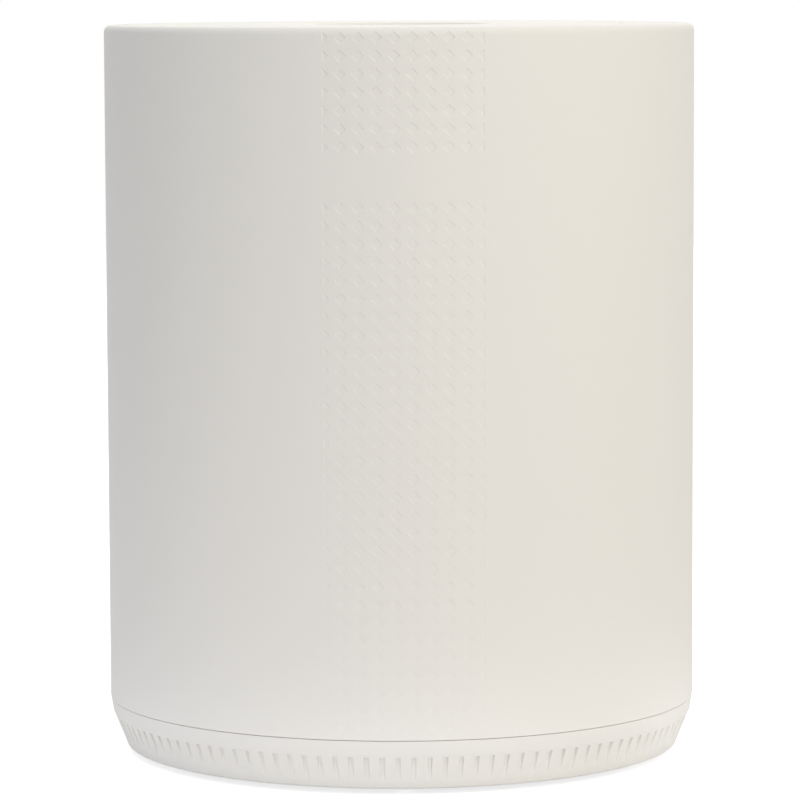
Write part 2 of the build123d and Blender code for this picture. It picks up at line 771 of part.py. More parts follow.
motor_shaft = 2.5
motor_high_z = 122.0
shaft_end_z = gearbox_high_z + 8
with BuildPart() as motor_pinion:
    gear(
        pinion_teeth,
        gear_module,
        motor_bearing + 180 + 180 / pinion_teeth,
        motor_place,
        *upper_gears,
    )
    tube(motor_shaft, 0, upper_gears[1], shaft_end_z, centre=motor_place)
write(motor_pinion, "motor_pinion")

with BuildPart() as motor_can:
    tube(motor_radius, 0, gearbox_high_z + 0.1, motor_high_z, centre=motor_place)
    tube(6, 0, motor_high_z, motor_high_z + 3, centre=motor_place)
    with Locations((*motor_place, shaft_end_z + 0.5)):
        Cylinder(motor_shaft + running, 8.5, align=hanging, mode=Mode.SUBTRACT)
write(motor_can, "motor_can")

box_lobes = [((0, 0), 60.0), (idler_place, 46.0), (motor_place, 18.0)]


def gearbox_outline(height, grow):
    """The gearbox's outline at a height: three round lobes run together."""
    with BuildSketch(Plane.XY.offset(height)) as outline:
        for centre, radius in box_lobes:
            with Locations(centre):
                Circle(radius + grow)
    return outline.sketch


gearbox_wall = 2.5
floor_z = gearbox_low_z + 3
cover_z = gearbox_high_z - 3
far_screw = polar(51.5, 262)
screw_places = [
    polar(66, 20),
    polar(66, 100),
    polar(66, 170),
    (idler_place[0] + far_screw[0], idler_place[1] + far_screw[1]),
]
lower_height = cover_z - gearbox_low_z - 0.05
boss_size = 4.5            # radius of the screw bosses
screw_bore = 1.6
sleeve_radius = shaft_radius + 3  # outside of the shaft's bushes
with BuildPart() as gearbox_lower:
    extrude(gearbox_outline(gearbox_low_z, gearbox_wall), amount=lower_height)
    extrude(gearbox_outline(floor_z, 0), amount=40, mode=Mode.SUBTRACT)
    with Locations(*[(x, y, gearbox_low_z) for x, y in screw_places]):
        Cylinder(boss_size, lower_height, align=upright)
    with Locations(*[(x, y, cover_z) for x, y in screw_places]):
        Cylinder(screw_bore, 24, mode=Mode.SUBTRACT)
    tube(sleeve_radius + seated, 0, 20, 50, mode=Mode.SUBTRACT)
    tube(pin_size + seated, 0, gearbox_low_z + 1, 50, centre=idler_place, mode=Mode.SUBTRACT)
write(gearbox_lower, "gearbox_lower")

with BuildPart() as gearbox_upper:
    extrude(gearbox_outline(cover_z, gearbox_wall), amount=gearbox_high_z - cover_z)
    with Locations(*[(x, y, cover_z) for x, y in screw_places]):
        Cylinder(boss_size, gearbox_high_z - cover_z, align=upright)
    with Locations(*[(x, y, cover_z) for x, y in screw_places]):
        Cylinder(screw_bore, 24, mode=Mode.SUBTRACT)
    tube(sleeve_radius + seated, 0, 50, 70, mode=Mode.SUBTRACT)
    tube(pin_size + seated, 0, 50, gearbox_high_z - 1, centre=idler_place, mode=Mode.SUBTRACT)
    tube(6, 0, 50, 70, centre=motor_place, mode=Mode.SUBTRACT)
write(gearbox_upper, "gearbox_upper")

with BuildPart() as gearbox_screws:
    with Locations(*[(x, y, gearbox_high_z) for x, y in screw_places]):
        Cylinder(screw_head_radius, 2.2, align=upright)
        Cylinder(1.5, 14, align=hanging)
write(gearbox_screws, "gearbox_screws")

with BuildPart() as shaft_bushes:
    tube(sleeve_radius, shaft_radius + running, gearbox_low_z, floor_z + 1)
    tube(sleeve_radius, shaft_radius + running, cover_z - 1, gearbox_high_z + 1)
write(shaft_bushes, "shaft_bushes")

# ---- air path and filter ---------------------------------------------------------------------
fan_centre_z = 290.0
fan_y = (109.5, 131.0)
fan_mouth = 9.0            # radius of the hole that the fan draws through
impeller_radius = 17.0
blade_count = 9
outlet_x = (-18.0, 18.0)   # the fan blows down through this slot into the filter box
outlet_y = (111.5, 115.5)


def facing_front(y):
    """The fan's own frame at a depth y: its axis runs forwards."""
    return Location((0, y, fan_centre_z), (90, 0, 0))


duct_y = (98.0, 109.4)
duct_wall = 2.0
duct_z = (278.0, 312.0)
with BuildPart() as air_duct:
    block((-18, 18), duct_y, duct_z)
    duct_inside = (duct_z[0] + duct_wall, duct_z[1] - duct_wall)
    block((-16, 16), (90, duct_y[1] - duct_wall), duct_inside, mode=Mode.SUBTRACT)
    tube(chamber_outer + 0.1, 0, 270, 314, mode=Mode.SUBTRACT)
    with Locations(facing_front(108)):
        Cylinder(fan_mouth, 10, mode=Mode.SUBTRACT)
write(air_duct, "air_duct")

with BuildPart() as fan_housing:
    block((-22, 22), fan_y, (fan_centre_z - 23, fan_centre_z + 22))
    with Locations(facing_front((fan_y[0] + fan_y[1]) / 2)):
        Cylinder(impeller_radius + 3, fan_y[1] - fan_y[0] - 4, mode=Mode.SUBTRACT)
    with Locations(facing_front(fan_y[0])):
        Cylinder(fan_mouth, 10, mode=Mode.SUBTRACT)
    block(outlet_x, outlet_y, (260, fan_centre_z - 10), mode=Mode.SUBTRACT)
write(fan_housing, "fan_housing")

with BuildPart() as fan_motor:
    with Locations(facing_front(fan_y[1] - 2)):
        Cylinder(7, 6, align=upright)
write(fan_motor, "fan_motor")

with BuildPart() as fan_impeller:
    with Locations(facing_front(122.5)):
        Cylinder(impeller_radius, 1.5, align=upright)
        Cylinder(6, 7, align=upright)
        with PolarLocations(12, blade_count):
            with Locations(Location((0, 0, 0), (0, 0, 25))):
                Box(9, 1.2, 9, align=upright)
write(fan_impeller, "fan_impeller")

box_half = filter_half_width + 0.5
box_back_y = 133.5
plenum_y = 116.0
with BuildPart() as filter_box:
    block((-box_half, box_half), (108, box_back_y), (filter_low_z - 2, filter_high_z + 2))
    box_inside = (2 - box_half, box_half - 2)
    block(box_inside, (110, 200), (filter_low_z, filter_high_z), mode=Mode.SUBTRACT)
    block(outlet_x, outlet_y, (250, 280), mode=Mode.SUBTRACT)
write(filter_box, "filter_box")

drawer_gap = 0.4
drawer_half = filter_half_width - 2.5
pull_half = 22.0
pull_z = (246.0, 258.0)
cassette_high_z = pull_z[0] - 5
slot_pitch = 7.0
slot_rows = 14
slot_size = (72.0, 2.8)
drawer_z = (filter_low_z + drawer_gap, filter_high_z - drawer_gap)
tray_y = (plenum_y, 150.0)
tray_low_z = filter_low_z + 2.2
tray_high_z = cassette_high_z + 2
with BuildPart() as drawer_tray:
    block((-drawer_half, drawer_half), tray_y, (tray_low_z, tray_low_z + 2))
    block((-drawer_half, drawer_half), tray_y, (cassette_high_z + 0.3, tray_high_z))
    for side in (-1, 1):
        cheek = sorted((side * drawer_half, side * (drawer_half - 1.5)))
        block(cheek, tray_y, (tray_low_z, tray_high_z))
    block((-pull_half - 2, pull_half + 2), (126, 150), (pull_z[0] - 2, pull_z[1] + 2))
    tube(inner_radius + 1, 0, 100, 300, mode=Mode.INTERSECT)

with BuildPart() as filter_drawer:
    rounded_window(filter_half_width - drawer_gap, *drawer_z, 7.6, mode=Mode.ADD)
    tube(drum_radius, inner_radius, 100, 300, mode=Mode.INTERSECT)
    add(drawer_tray.part)
    block((-pull_half, pull_half), (128, 160), pull_z, mode=Mode.SUBTRACT)
    slot_middle = (filter_low_z + cassette_high_z) / 2 + 2
    slot_sheet = Plane(origin=(0, 100, slot_middle), x_dir=(1, 0, 0), z_dir=(0, 1, 0))
    with BuildSketch(slot_sheet) as exhaust_slots:
        with GridLocations(0, slot_pitch, 1, slot_rows):
            SlotOverall(*slot_size)
    extrude(exhaust_slots.sketch, amount=80, mode=Mode.SUBTRACT)
write(filter_drawer, "filter_drawer")

cassette_half = drawer_half - 1.8
cassette_y = (plenum_y + 0.4, 131.0)
cassette_z = (filter_low_z + 4.5, cassette_high_z)
rim = 2.0
inner_x = (rim - cassette_half, cassette_half - rim)
inner_z = (cassette_z[0] + rim, cassette_z[1] - rim)
with BuildPart() as carbon_cassette:
    block((-cassette_half, cassette_half), cassette_y, cassette_z)
    block(inner_x, (100, 150), inner_z, mode=Mode.SUBTRACT)
write(carbon_cassette, "carbon_cassette")

with BuildPart() as carbon_granules:
    block(inner_x, (cassette_y[0] + 1.2, cassette_y[1] - 1.2), inner_z)
write(carbon_granules, "carbon_granules")

with BuildPart() as cassette_mesh:
    for y in (cassette_y[0] + 0.2, cassette_y[1] - 1.2):
        block(inner_x, (y, y + 1.0), inner_z)
write(cassette_mesh, "cassette_mesh")

# ---- power -----------------------------------------------------------------------------------
inlet_face_y = 145.4
inlet_floor_y = 129.0
socket_half = (11.5, 7.5)  # half width and half height of the socket
socket_cut = 4.0           # its two upper corners are cut off
with BuildPart() as power_inlet:
    block((-16, 16), (122, inlet_face_y), (inlet_z - 12, inlet_z + 12))
    block((-20, 20), (138, 141), (inlet_z - 15, inlet_z + 15))
    mouth = Plane(origin=(0, inlet_floor_y, inlet_z), x_dir=(-1, 0, 0), z_dir=(0, 1, 0))
    with BuildSketch(mouth) as cavity:
        with BuildLine():
            Polyline(
                (-socket_half[0], -socket_half[1]),
                (socket_half[0], -socket_half[1]),
                (socket_half[0], socket_half[1] - socket_cut),
                (socket_half[0] - socket_cut, socket_half[1]),
                (socket_cut - socket_half[0], socket_half[1]),
                (-socket_half[0], socket_half[1] - socket_cut),
                close=True,
            )
        make_face()
    extrude(amount=40, mode=Mode.SUBTRACT)
write(power_inlet, "power_inlet")

pin_places = [(-7, inlet_z - 2), (7, inlet_z - 2), (0, inlet_z + 2)]
with BuildPart() as inlet_pins:
    with Locations(*[(x, inlet_floor_y, z) for x, z in pin_places]):
        Box(2, 11, 4, align=(Align.CENTER, Align.MIN, Align.CENTER))
write(inlet_pins, "inlet_pins")

# The board carries a transformer, two capacitors and a heat sink.
board_top = board_z + board_thickness
with BuildPart() as main_board:
    block(board_x, board_y, (board_z, board_top))
    block((24, 50), (40, 64), (board_top, board_top + 13))
    with Locations((62, 42, board_top), (78, 42, board_top)):
        Cylinder(5.5, 13, align=upright)
    block((60, 84), (62, 68), (board_top, board_top + 12))
write(main_board, "main_board")
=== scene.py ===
import json
from math import acos, atan2, cos, hypot, pi, radians, sin, tan

import bmesh
import bpy
from mathutils import Matrix, Quaternion, Vector


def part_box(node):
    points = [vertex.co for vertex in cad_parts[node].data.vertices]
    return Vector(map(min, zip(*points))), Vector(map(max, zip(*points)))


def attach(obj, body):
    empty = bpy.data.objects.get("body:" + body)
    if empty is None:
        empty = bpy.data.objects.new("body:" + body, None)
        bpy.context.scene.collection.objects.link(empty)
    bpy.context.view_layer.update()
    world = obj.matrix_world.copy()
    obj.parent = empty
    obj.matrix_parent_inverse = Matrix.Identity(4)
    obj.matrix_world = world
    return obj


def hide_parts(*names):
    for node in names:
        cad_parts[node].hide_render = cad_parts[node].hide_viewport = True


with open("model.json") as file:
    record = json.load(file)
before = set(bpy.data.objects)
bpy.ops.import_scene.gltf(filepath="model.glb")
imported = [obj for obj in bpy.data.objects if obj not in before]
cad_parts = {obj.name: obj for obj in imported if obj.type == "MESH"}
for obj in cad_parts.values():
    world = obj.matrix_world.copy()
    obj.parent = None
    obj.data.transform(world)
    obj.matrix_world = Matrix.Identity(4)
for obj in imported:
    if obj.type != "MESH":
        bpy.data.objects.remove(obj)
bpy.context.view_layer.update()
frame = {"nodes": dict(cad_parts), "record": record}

bl_info = {
    "name": "Food waste composter",
    "version": (1, 0, 0),
    "blender": (4, 5, 0),
    "location": "3D View > Sidebar > Composter",
    "description": "Models the shells of a drum-shaped electric food waste composter",
    "category": "Object",
}

NODES = frame["nodes"]
RECORD = frame["record"]
SLOTS = {row["node"]: row["material_slot"] for row in RECORD["subparts"]}
BODIES = {n: body for body, names in RECORD["behaviour"]["bodies"].items() for n in names}
MM = 0.001
TURN = 2 * pi

# ---- places taken from the frame, in metres
SLEEVE_LOW, SLEEVE_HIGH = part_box("outer_sleeve")
SKIRT_LOW, SKIRT_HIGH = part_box("base_skirt")
DRUM_RADIUS = SLEEVE_HIGH.x
TOP = SLEEVE_HIGH.z
SEAM_HIGH = SLEEVE_LOW.z
SKIRT_RADIUS = SKIRT_HIGH.x
SKIRT_FOOT = SKIRT_LOW.z

# ---- sizes of the drum, in metres
WALL = 3 * MM
EXACT = 0.01 * MM  # for finding what lies in a place
BEND_DEPTH = 0.15 * MM  # the drum's lower lip stands this far inside its wall
TOP_RINGS = 8  # facets of the rounded top edge and of the bend above the seam
BEND_RINGS = 6
POCKET_COLUMNS = 108  # how many columns would go round the whole drum
FULL_COLUMNS = 4  # whole columns on each side of the middle
ROWS = ((360.2 * MM, 7), (280.4 * MM, 30))  # height of the first row, number of rows
GAP_LINES = 4  # rings across the bare band between the two fields
LOWEST_SHARE = 0.38  # the rows get shallower downwards, to this share of the top one
DECK_GAP = 0.2 * MM  # round the deck, and below it
DECK_DROP = 0.3 * MM
SHELF_WIDTH = 4.2 * MM  # what the deck rests on
LIP_WIDTH = 11.5 * MM  # the flange that the skirt is screwed to
CUT_FROM = 90 * MM  # how far back the window tools start and end
CUT_TO = 200 * MM
WINDOW_GAP = 0.4 * MM
WINDOW_CORNER = 8 * MM
INLET_HALF = (16.4 * MM, 12.4 * MM)
INLET_CORNER = 0.8 * MM
FIELD_BOX = ((-32 * MM, 100 * MM, 84 * MM), (32 * MM, CUT_TO, 110 * MM))  # the bare field behind
FIELD_CORNER = 3 * MM
FIELD_DEPTH = 0.5 * MM
FIELD_CORE = 200 * MM  # how tall the core is that leaves the field shallow
DRUM_ANGLE = 20  # degrees: a sharper edge than this is not shaded smooth

# ---- sizes of the skirt
SKIRT_FACES = 360
FACES_PER_GROOVE = 3
SKIRT_TOP_RADIUS = 147.3 * MM
SKIRT_BEND_RADIUS = 145.9 * MM  # the skirt tapers faster below this place
SKIRT_BEND_HIGH = 20 * MM
SKIRT_BOTTOM_RADIUS = 139 * MM
SKIRT_INNER = 134 * MM
SKIRT_EDGE = 1.8 * MM
EDGE_RINGS = 6
GROOVE_LOW = 7.4 * MM
GROOVE_HIGH = 19.3 * MM
GROOVE_RINGS = 6
BAND_HIGH = 20 * MM  # the plain band above the grooves stands a little proud
BAND_STEP = 0.6 * MM
BAND_LEAN = 0.4
SEAM_GAP = 0.3 * MM
RIM_HIGH = 0.3 * MM  # the small bevel along the skirt's upper rim
RIM_WIDE = 0.2 * MM
NECK_INSET = 4 * MM  # the neck reaches up into the drum
NECK_WALL = 0.8 * MM
FLANGE_WIDTH = 10 * MM
PAN_GAP = 0.2 * MM
PAN_LEDGE = (2.4 * MM, 2.5 * MM)
SKIRT_WALL = 3 * MM
SKIRT_ANGLE = 25

# ---- outlines of the turned pieces: radius, height and corner radius, in millimetres
ROUND_FACES = 192
FOOT_FACES = 40
BUTTON_FACES = 64
LIGHT_FACES = 24
BUCKET_FACES = 160
FOOT_ORBIT = 112 * MM
FOOT_OUTLINE = (
    (0, 0.7), (6, 0.7), (7, 0, 0.3), (10, 0, 0.9), (10, 3, 0.4),
    (4, 3), (4, 6.05), (5.2, 6.05), (3, 9, 0.6), (0, 9),
)
DECK_OUTLINE = (
    (103.5, 317), (115, 317), (115, 362), (138, 362),
    (138, 365, 0.5), (112, 365, 0.8), (112, 320), (103.5, 320, 0.6),
)
LID_OUTLINE = (
    (6.05, 346), (41, 346), (48, 362), (108.2, 362), (108.2, 328.2),
    (111.2, 328.2), (111.2, 365, 0.8), (46, 365, 1.5), (39, 349, 1.0), (6.05, 349),
)
KNOB_OUTLINE = (
    (0, 341.4), (6, 341.4), (6, 349.3),
    (37.5, 349.3, 0.3), (37.5, 352.3, 0.8), (0, 352.3),
)
BUTTON_OUTLINE = (
    (0, 358.4), (8.7, 358.4, 0.3), (8.7, 361), (7.5, 361),
    (7.5, 365, 0.7), (5.5, 365), (3.5, 364.85), (0, 364.7),
)
BUCKET_OUTLINE = (
    (12, 99), (20, 99, 0.5), (22, 102), (78, 102),
    (78, 88.2, 0.5), (82, 88.2, 0.5), (82, 102), (94, 102, 6),
    (94, 287), (96.5, 287, 0.6), (96.5, 290, 1.0), (91.5, 290, 1.0),
    (91.5, 105, 5), (20, 105, 1.0), (20, 108, 1.0), (12, 108),
)

# ---- sizes of the deck, the lid and the bucket
STUD_PLACE = 30 * MM  # the control board hangs on two studs under the deck
STUD_RADIUS = 2.5 * MM
STUD_LOW = 351.6 * MM
STUD_HIGH = 363 * MM
HOLE_LOW = 350 * MM  # holes through the deck's top
HOLE_HIGH = 380 * MM
BUTTON_RADIUS = 7.5 * MM
BUTTON_GAP = 0.2 * MM
LIGHT_RADIUS = 1.5 * MM
LIGHT_GAP = 0.05 * MM
LIGHT_ANGLES = (-80, -77, -74)
# How far out each bolt pocket or window reaches, the gap round the bolt, and the corner radius.
DECK_POCKET = (107 * MM, 120 * MM, 0.5 * MM, 0.6 * MM)
LID_WINDOW = (103.2 * MM, 113 * MM, 0.15 * MM, 0.5 * MM)
KNOB_DISC_HIGH = 352.3 * MM
GRIP_SUNK = 1 * MM  # the grip starts this far inside the knob's disc
GRIP_FACES = 96
GRIP_LENGTH = 69 * MM
GRIP_WIDTH = 15 * MM
GRIP_HIGH = 364.4 * MM
GRIP_LEAN = 3  # degrees that the grip's sides lean in
GRIP_EDGE = 2.5 * MM
EAR_REACH = (91.5 * MM, 94.5 * MM)
EAR_HALF = 6 * MM
EAR_LOW = 289 * MM
EAR_HIGH = 299 * MM
EAR_CORNER = 3 * MM
PIVOT_REACH = (80 * MM, 100 * MM)
PIVOT_RADIUS = 2.55 * MM
PIVOT_HIGH = 295 * MM
SLOT_REACH = (70 * MM, 90 * MM)  # the chamber's two pegs stand in slots of the foot ring
SLOT_HALF = 4.5 * MM
SLOT_LOW = 80 * MM
SLOT_HIGH = 101 * MM
SLOT_CORNER = 1 * MM

# ---- the studio
CAMERA_PLACE = (-0.02797, -2.1369, 0.3885)
CAMERA_PITCH = 0.0993  # radians below level
CAMERA_ROLL = -0.0041
CAMERA_LENS = 191.3  # millimetres, on a sensor this wide
SENSOR_WIDTH = 36
CLIP_FROM = 0.05
CLIP_TO = 50
CAMERA_SHIFT = -0.0006
FLOOR_RADIUS = 4.0
FLOOR_FACES = 96
GLOW_NEAR = 0.72  # what the floor gives to the eye at the skirt, and further off
GLOW_FAR = 0.8
GLOW_RISE = 4.0
FLOOR_TONE = 0.75
SKY_LEVEL = 0.546
SKY_TINT = (0.925, 0.934, 1.0)
# Name, place, what it faces, width, height, power and tint of each soft lamp.
LAMPS = (
    ("key", (0.55, -0.9, 1.5), (0, 0, 0.3), 0.8, 0.8, 3.85, (1.0, 0.98, 0.82)),
    ("key_low", (0.8, -1.9, 0.5), (0, 0, 0.2), 0.8, 0.8, 6.62, (1.0, 0.975, 0.87)),
    ("overhead", (0, 0, 1.1), (0, 0, 0.36), 1.4, 1.4, 2.79, (1.0, 1.0, 0.965)),
    ("top_back", (0, 1.9, 1.3), (0, 0.05, 0.36), 1.4, 1.4, 8.04, (1.0, 1.0, 0.92)),
    ("right", (2.6, -0.6, 0.9), (0, 0, 0.18), 1.6, 1.6, 7.5, (1.0, 0.83, 0.57)),
    ("near_front", (0, -0.38, 0.012), (0, 0, 0.02), 0.6, 0.016, 0.013, (1.0, 0.64, 0.57)),
    ("low_left", (-0.5, -0.42, 0.02), (0, 0, 0.03), 0.7, 0.03, 0.102, (1.0, 0.91, 0.94)),
    ("near_left", (-0.33, -0.24, 0.012), (0, 0, 0.02), 0.5, 0.016, 0.074, (0.84, 0.88, 1.0)),
)
# Small lamps on the floor round the front of the skirt: angle from straight ahead, and power.
SKIRT_LAMPS = ((-66, 0.0045), (-38, 0.0042), (-10, 0.005), (18, 0.0047), (46, 0.003), (70, 0.0062))
SKIRT_LAMP_ORBIT = 0.195
SKIRT_LAMP_HIGH = 0.0055
SKIRT_LAMP_TINT = (0.84, 0.88, 1.0)
SKIRT_LAMP_SIZE = (0.1, 0.008)


# ---- settings in the sidebar
def length(name, description, millimetres):
    """A length that the sidebar shows."""
    return bpy.props.FloatProperty(
        name=name, description=description, default=millimetres * MM, unit="LENGTH", precision=5
    )


def colour(name, description, red, green, blue):
    """A linear colour that the sidebar shows."""
    shade = (red, green, blue)
    return bpy.props.FloatVectorProperty(
        name=name, description=description, default=shade, subtype="COLOR", min=0, max=1
    )


class ComposterSizes(bpy.types.PropertyGroup):
    """Sizes of the drum's rounded edges, its pockets and the skirt's grooves"""

    top_edge: length("Top edge", "Radius of the drum's top edge", 3.6)
    lower_bend: length("Lower bend", "Radius of the bend above the seam", 1)
    row_pitch: length("Row pitch", "Height from one row of pockets to the next", 8.53)
    pocket_reach: length("Pocket reach", "From the middle of a pocket to its tip", 3.05)
    pocket_slope: length("Pocket slope", "Width of a pocket's sloping sides", 0.34)
    pocket_depth: length("Pocket depth", "How deep the top row's floors lie", 0.3)
    groove_slope: length("Groove side", "Width of a groove's steep sides", 0.4)
    groove_depth: length("Groove depth", "How deep a groove is at its top", 1.4)


class ComposterColours(bpy.types.PropertyGroup):
    """Colours of the finishes"""

    shell: colour("Shell", "Warm off-white moulded plastic", 0.80, 0.775, 0.705)
    knob: colour("Knob", "Slightly darker off-white plastic", 0.70, 0.68, 0.62)
    inner: colour("Inner mouldings", "Dark grey plastic", 0.085, 0.088, 0.092)
    black: colour("Black mouldings", "Black plastic", 0.02, 0.02, 0.022)
    rubber: colour("Rubber", "Feet and shaft seal", 0.024, 0.024, 0.024)
    seal: colour("Seal", "Grey silicone", 0.19, 0.19, 0.185)
    steel: colour("Steel", "Zinc-plated steel", 0.56, 0.56, 0.55)
    ground: colour("Ground steel", "Hardened and ground steel", 0.62, 0.62, 0.60)
    bucket: colour("Bucket", "Dark non-stick coat", 0.045, 0.046, 0.05)
    chamber: colour("Chamber", "Spun aluminium", 0.66, 0.67, 0.67)
    bronze: colour("Bronze", "Sintered bushes", 0.45, 0.26, 0.11)
    acetal: colour("Acetal", "Natural gear plastic", 0.74, 0.70, 0.60)
    felt: colour("Felt", "Needled insulation", 0.28, 0.27, 0.25)
    carbon: colour("Carbon", "Filter granules", 0.012, 0.012, 0.013)
    mesh: colour("Mesh", "Woven cassette mesh", 0.55, 0.55, 0.52)
    board: colour("Board", "Circuit board lacquer", 0.01, 0.085, 0.028)
    light: colour("Light guide", "Milky plastic", 0.84, 0.86, 0.83)
    contact: colour("Contact", "Plated pins", 0.62, 0.45, 0.17)
    magnet: colour("Magnet", "Nickel plate", 0.62, 0.60, 0.57)


def sizes():
    """The sizes as the sidebar has them."""
    return bpy.context.scene.composter_sizes


def colours():
    """The colours as the sidebar has them."""
    return bpy.context.scene.composter_colours


# ---- shared surface effects
CLOUD_SCALE = 14  # of the noises, per metre
SPECK_SCALE = 700
MARK_SCALE = 55
FLECK_SCALE = 1500
FLECK_LEVEL = 0.66  # a fleck is where the noise is above this
FIBRE_STRETCH = (1, 0.3, 1.6)
FIBRE_SPREAD = -0.05  # of the roughness
FELT_HEIGHT = 0.6 * MM
GRANULE_SPREAD = -0.4
GRANULE_HEIGHT = 1.5 * MM
WIRE_EDGE = 0.1  # where a wire begins, and how sharply
WIRE_SHARPNESS = 2.5
WIRE_HEIGHT = 0.4 * MM


def new_group(name, shade, **values):
    """A shader group that takes a colour and some values, what it is given, and its end node."""
    group = bpy.data.node_groups.new(name, "ShaderNodeTree")

    def socket(label, side, kind):
        return group.interface.new_socket(label, in_out=side, socket_type="NodeSocket" + kind)

    socket("Colour", "INPUT", "Color").default_value = (shade, shade, shade, 1)
    for label, value in values.items():
        label = label.replace("_", " ").capitalize()
        socket(label, "INPUT", "Float").default_value = value
    for label, kind in (("Colour", "Color"), ("Roughness", "Float"), ("Normal", "Vector")):
        socket(label, "OUTPUT", kind)
    given = group.nodes.new("NodeGroupInput").outputs
    return group, given, group.nodes.new("NodeGroupOutput")


def feed(tree, value, socket):
    """Give a socket a number, or link another socket to it."""
    if isinstance(value, (int, float)):
        socket.default_value = value
    else:
        tree.links.new(value, socket)


def math(tree, operation, first, second=None, clamp=False):
    """A Math node whose inputs are sockets or numbers."""
    node = tree.nodes.new("ShaderNodeMath")
    node.operation = operation
    node.use_clamp = clamp
    feed(tree, first, node.inputs[0])
    if second is not None:
        feed(tree, second, node.inputs[1])
    return node.outputs[0]


def scaled(tree, value, factor, offset):
    """A value times a factor, plus an offset."""
    return math(tree, "ADD", math(tree, "MULTIPLY", value, factor), offset)


def swing(tree, value, reach=1.0):
    """How far a value lies from one half, times a reach."""
    return math(tree, "MULTIPLY", math(tree, "SUBTRACT", value, 0.5), reach)


def noise(tree, vector, scale, detail=2.0, roughness=0.5):
    """A noise value, about 0.5 on average."""
    node = tree.nodes.new("ShaderNodeTexNoise")
    node.inputs["Detail"].default_value = detail
    node.inputs["Roughness"].default_value = roughness
    feed(tree, vector, node.inputs["Vector"])
    feed(tree, scale, node.inputs["Scale"])
    return node.outputs["Fac"]


def object_place(tree):
    """Where a point lies on its own object, in metres."""
    return tree.nodes.new("ShaderNodeTexCoord").outputs["Object"]


def split_place(tree):
    """The three parts of a point's place on its own object."""
    split = tree.nodes.new("ShaderNodeSeparateXYZ")
    tree.links.new(object_place(tree), split.inputs[0])
    return split.outputs


def from_axis(tree, place):
    """How far a place, in its three parts, lies from the upright axis."""
    squares = [math(tree, "MULTIPLY", part, part) for part in (place[0], place[1])]
    return math(tree, "SQRT", math(tree, "ADD", *squares))


def brighten(tree, base, factor):
    """A colour times a value that changes over the surface."""
    node = tree.nodes.new("ShaderNodeMix")
    node.data_type = "RGBA"
    node.blend_type = "MULTIPLY"
    node.inputs["Factor"].default_value = 1
    tree.links.new(base, node.inputs[6])
    tree.links.new(factor, node.inputs[7])
    return node.outputs[2]


def bump(tree, height, distance):
    """The normal of a surface with small bumps."""
    node = tree.nodes.new("ShaderNodeBump")
    tree.links.new(height, node.inputs["Height"])
    feed(tree, distance, node.inputs["Distance"])
    return node.outputs["Normal"]


def close_group(group, given, end, tone, spread, height, distance, clamp=True):
    """Tint the colour, vary the roughness, raise the bumps, and hand all three out."""
    base = brighten(group, given["Colour"], tone)
    roughness = math(group, "ADD", given["Roughness"], spread, clamp)
    group.links.new(base, end.inputs["Colour"])
    group.links.new(roughness, end.inputs["Roughness"])
    group.links.new(bump(group, height, distance), end.inputs["Normal"])
    return group


def moulded_grain():
    """Spark-eroded grain of moulded plastic, with a faint cloudiness of tone."""
    group, given, end = new_group(
        "Moulded grain", 0.8, roughness=0.5, grain_size=0.0003, grain_height=0.00001, cloud=0.03
    )
    place = object_place(group)
    per_metre = math(group, "DIVIDE", 1.0, given["Grain size"])
    grain = noise(group, place, per_metre, detail=3, roughness=0.6)
    cloud = swing(group, noise(group, place, CLOUD_SCALE, detail=3))
    speck = swing(group, noise(group, place, SPECK_SCALE), reach=0.5)
    tone = scaled(group, math(group, "ADD", cloud, speck), given["Cloud"], offset=1.0)
    height = given["Grain height"]
    return close_group(group, given, end, tone, swing(group, grain, reach=0.18), grain, height)


def turned_lines():
    """Fine concentric tool lines of turned, spun or ground metal, with darker handling marks."""
    group, given, end = new_group(
        "Turned lines", 0.6, roughness=0.3, line_width=0.0003, line_height=0.000004, marks=0.12
    )
    place = split_place(group)
    join = group.nodes.new("ShaderNodeCombineXYZ")
    group.links.new(from_axis(group, place), join.inputs[0])
    group.links.new(place[2], join.inputs[1])
    per_metre = math(group, "DIVIDE", 1.0, given["Line width"])
    lines = noise(group, join.outputs[0], per_metre, roughness=0.6)
    marks = swing(group, noise(group, object_place(group), MARK_SCALE, detail=5, roughness=0.65))
    tone = scaled(group, marks, given["Marks"], offset=1.0)
    height = given["Line height"]
    return close_group(group, given, end, tone, swing(group, lines, reach=0.3), lines, height)


def cast_skin():
    """Sandy skin of cast or sintered metal, or of a sprayed coat."""
    group, given, end = new_group(
        "Cast skin", 0.2, roughness=0.5, grain_size=0.0012, grain_height=0.00003, speckle=0.5
    )
    place = object_place(group)
    per_metre = math(group, "DIVIDE", 1.0, given["Grain size"])
    skin = noise(group, place, per_metre, detail=4, roughness=0.6)
    flecks = math(group, "GREATER_THAN", noise(group, place, FLECK_SCALE, detail=1), FLECK_LEVEL)
    tone = scaled(group, flecks, given["Speckle"], offset=0.94)
    height = given["Grain height"]
    return close_group(group, given, end, tone, swing(group, skin, reach=0.2), skin, height)


def fibres():
    """Matted fibres of a needled felt."""
    group, given, end = new_group("Fibres", 0.3, roughness=0.95, fibre_size=0.0015)
    stretch = group.nodes.new("ShaderNodeMapping")
    stretch.inputs["Scale"].default_value = FIBRE_STRETCH
    group.links.new(object_place(group), stretch.inputs["Vector"])
    per_metre = math(group, "DIVIDE", 1.0, given["Fibre size"])
    lay = noise(group, stretch.outputs[0], per_metre, detail=5, roughness=0.7)
    tone = scaled(group, lay, factor=0.9, offset=0.55)
    spread = math(group, "MULTIPLY", lay, FIBRE_SPREAD)
    return close_group(group, given, end, tone, spread, lay, FELT_HEIGHT)


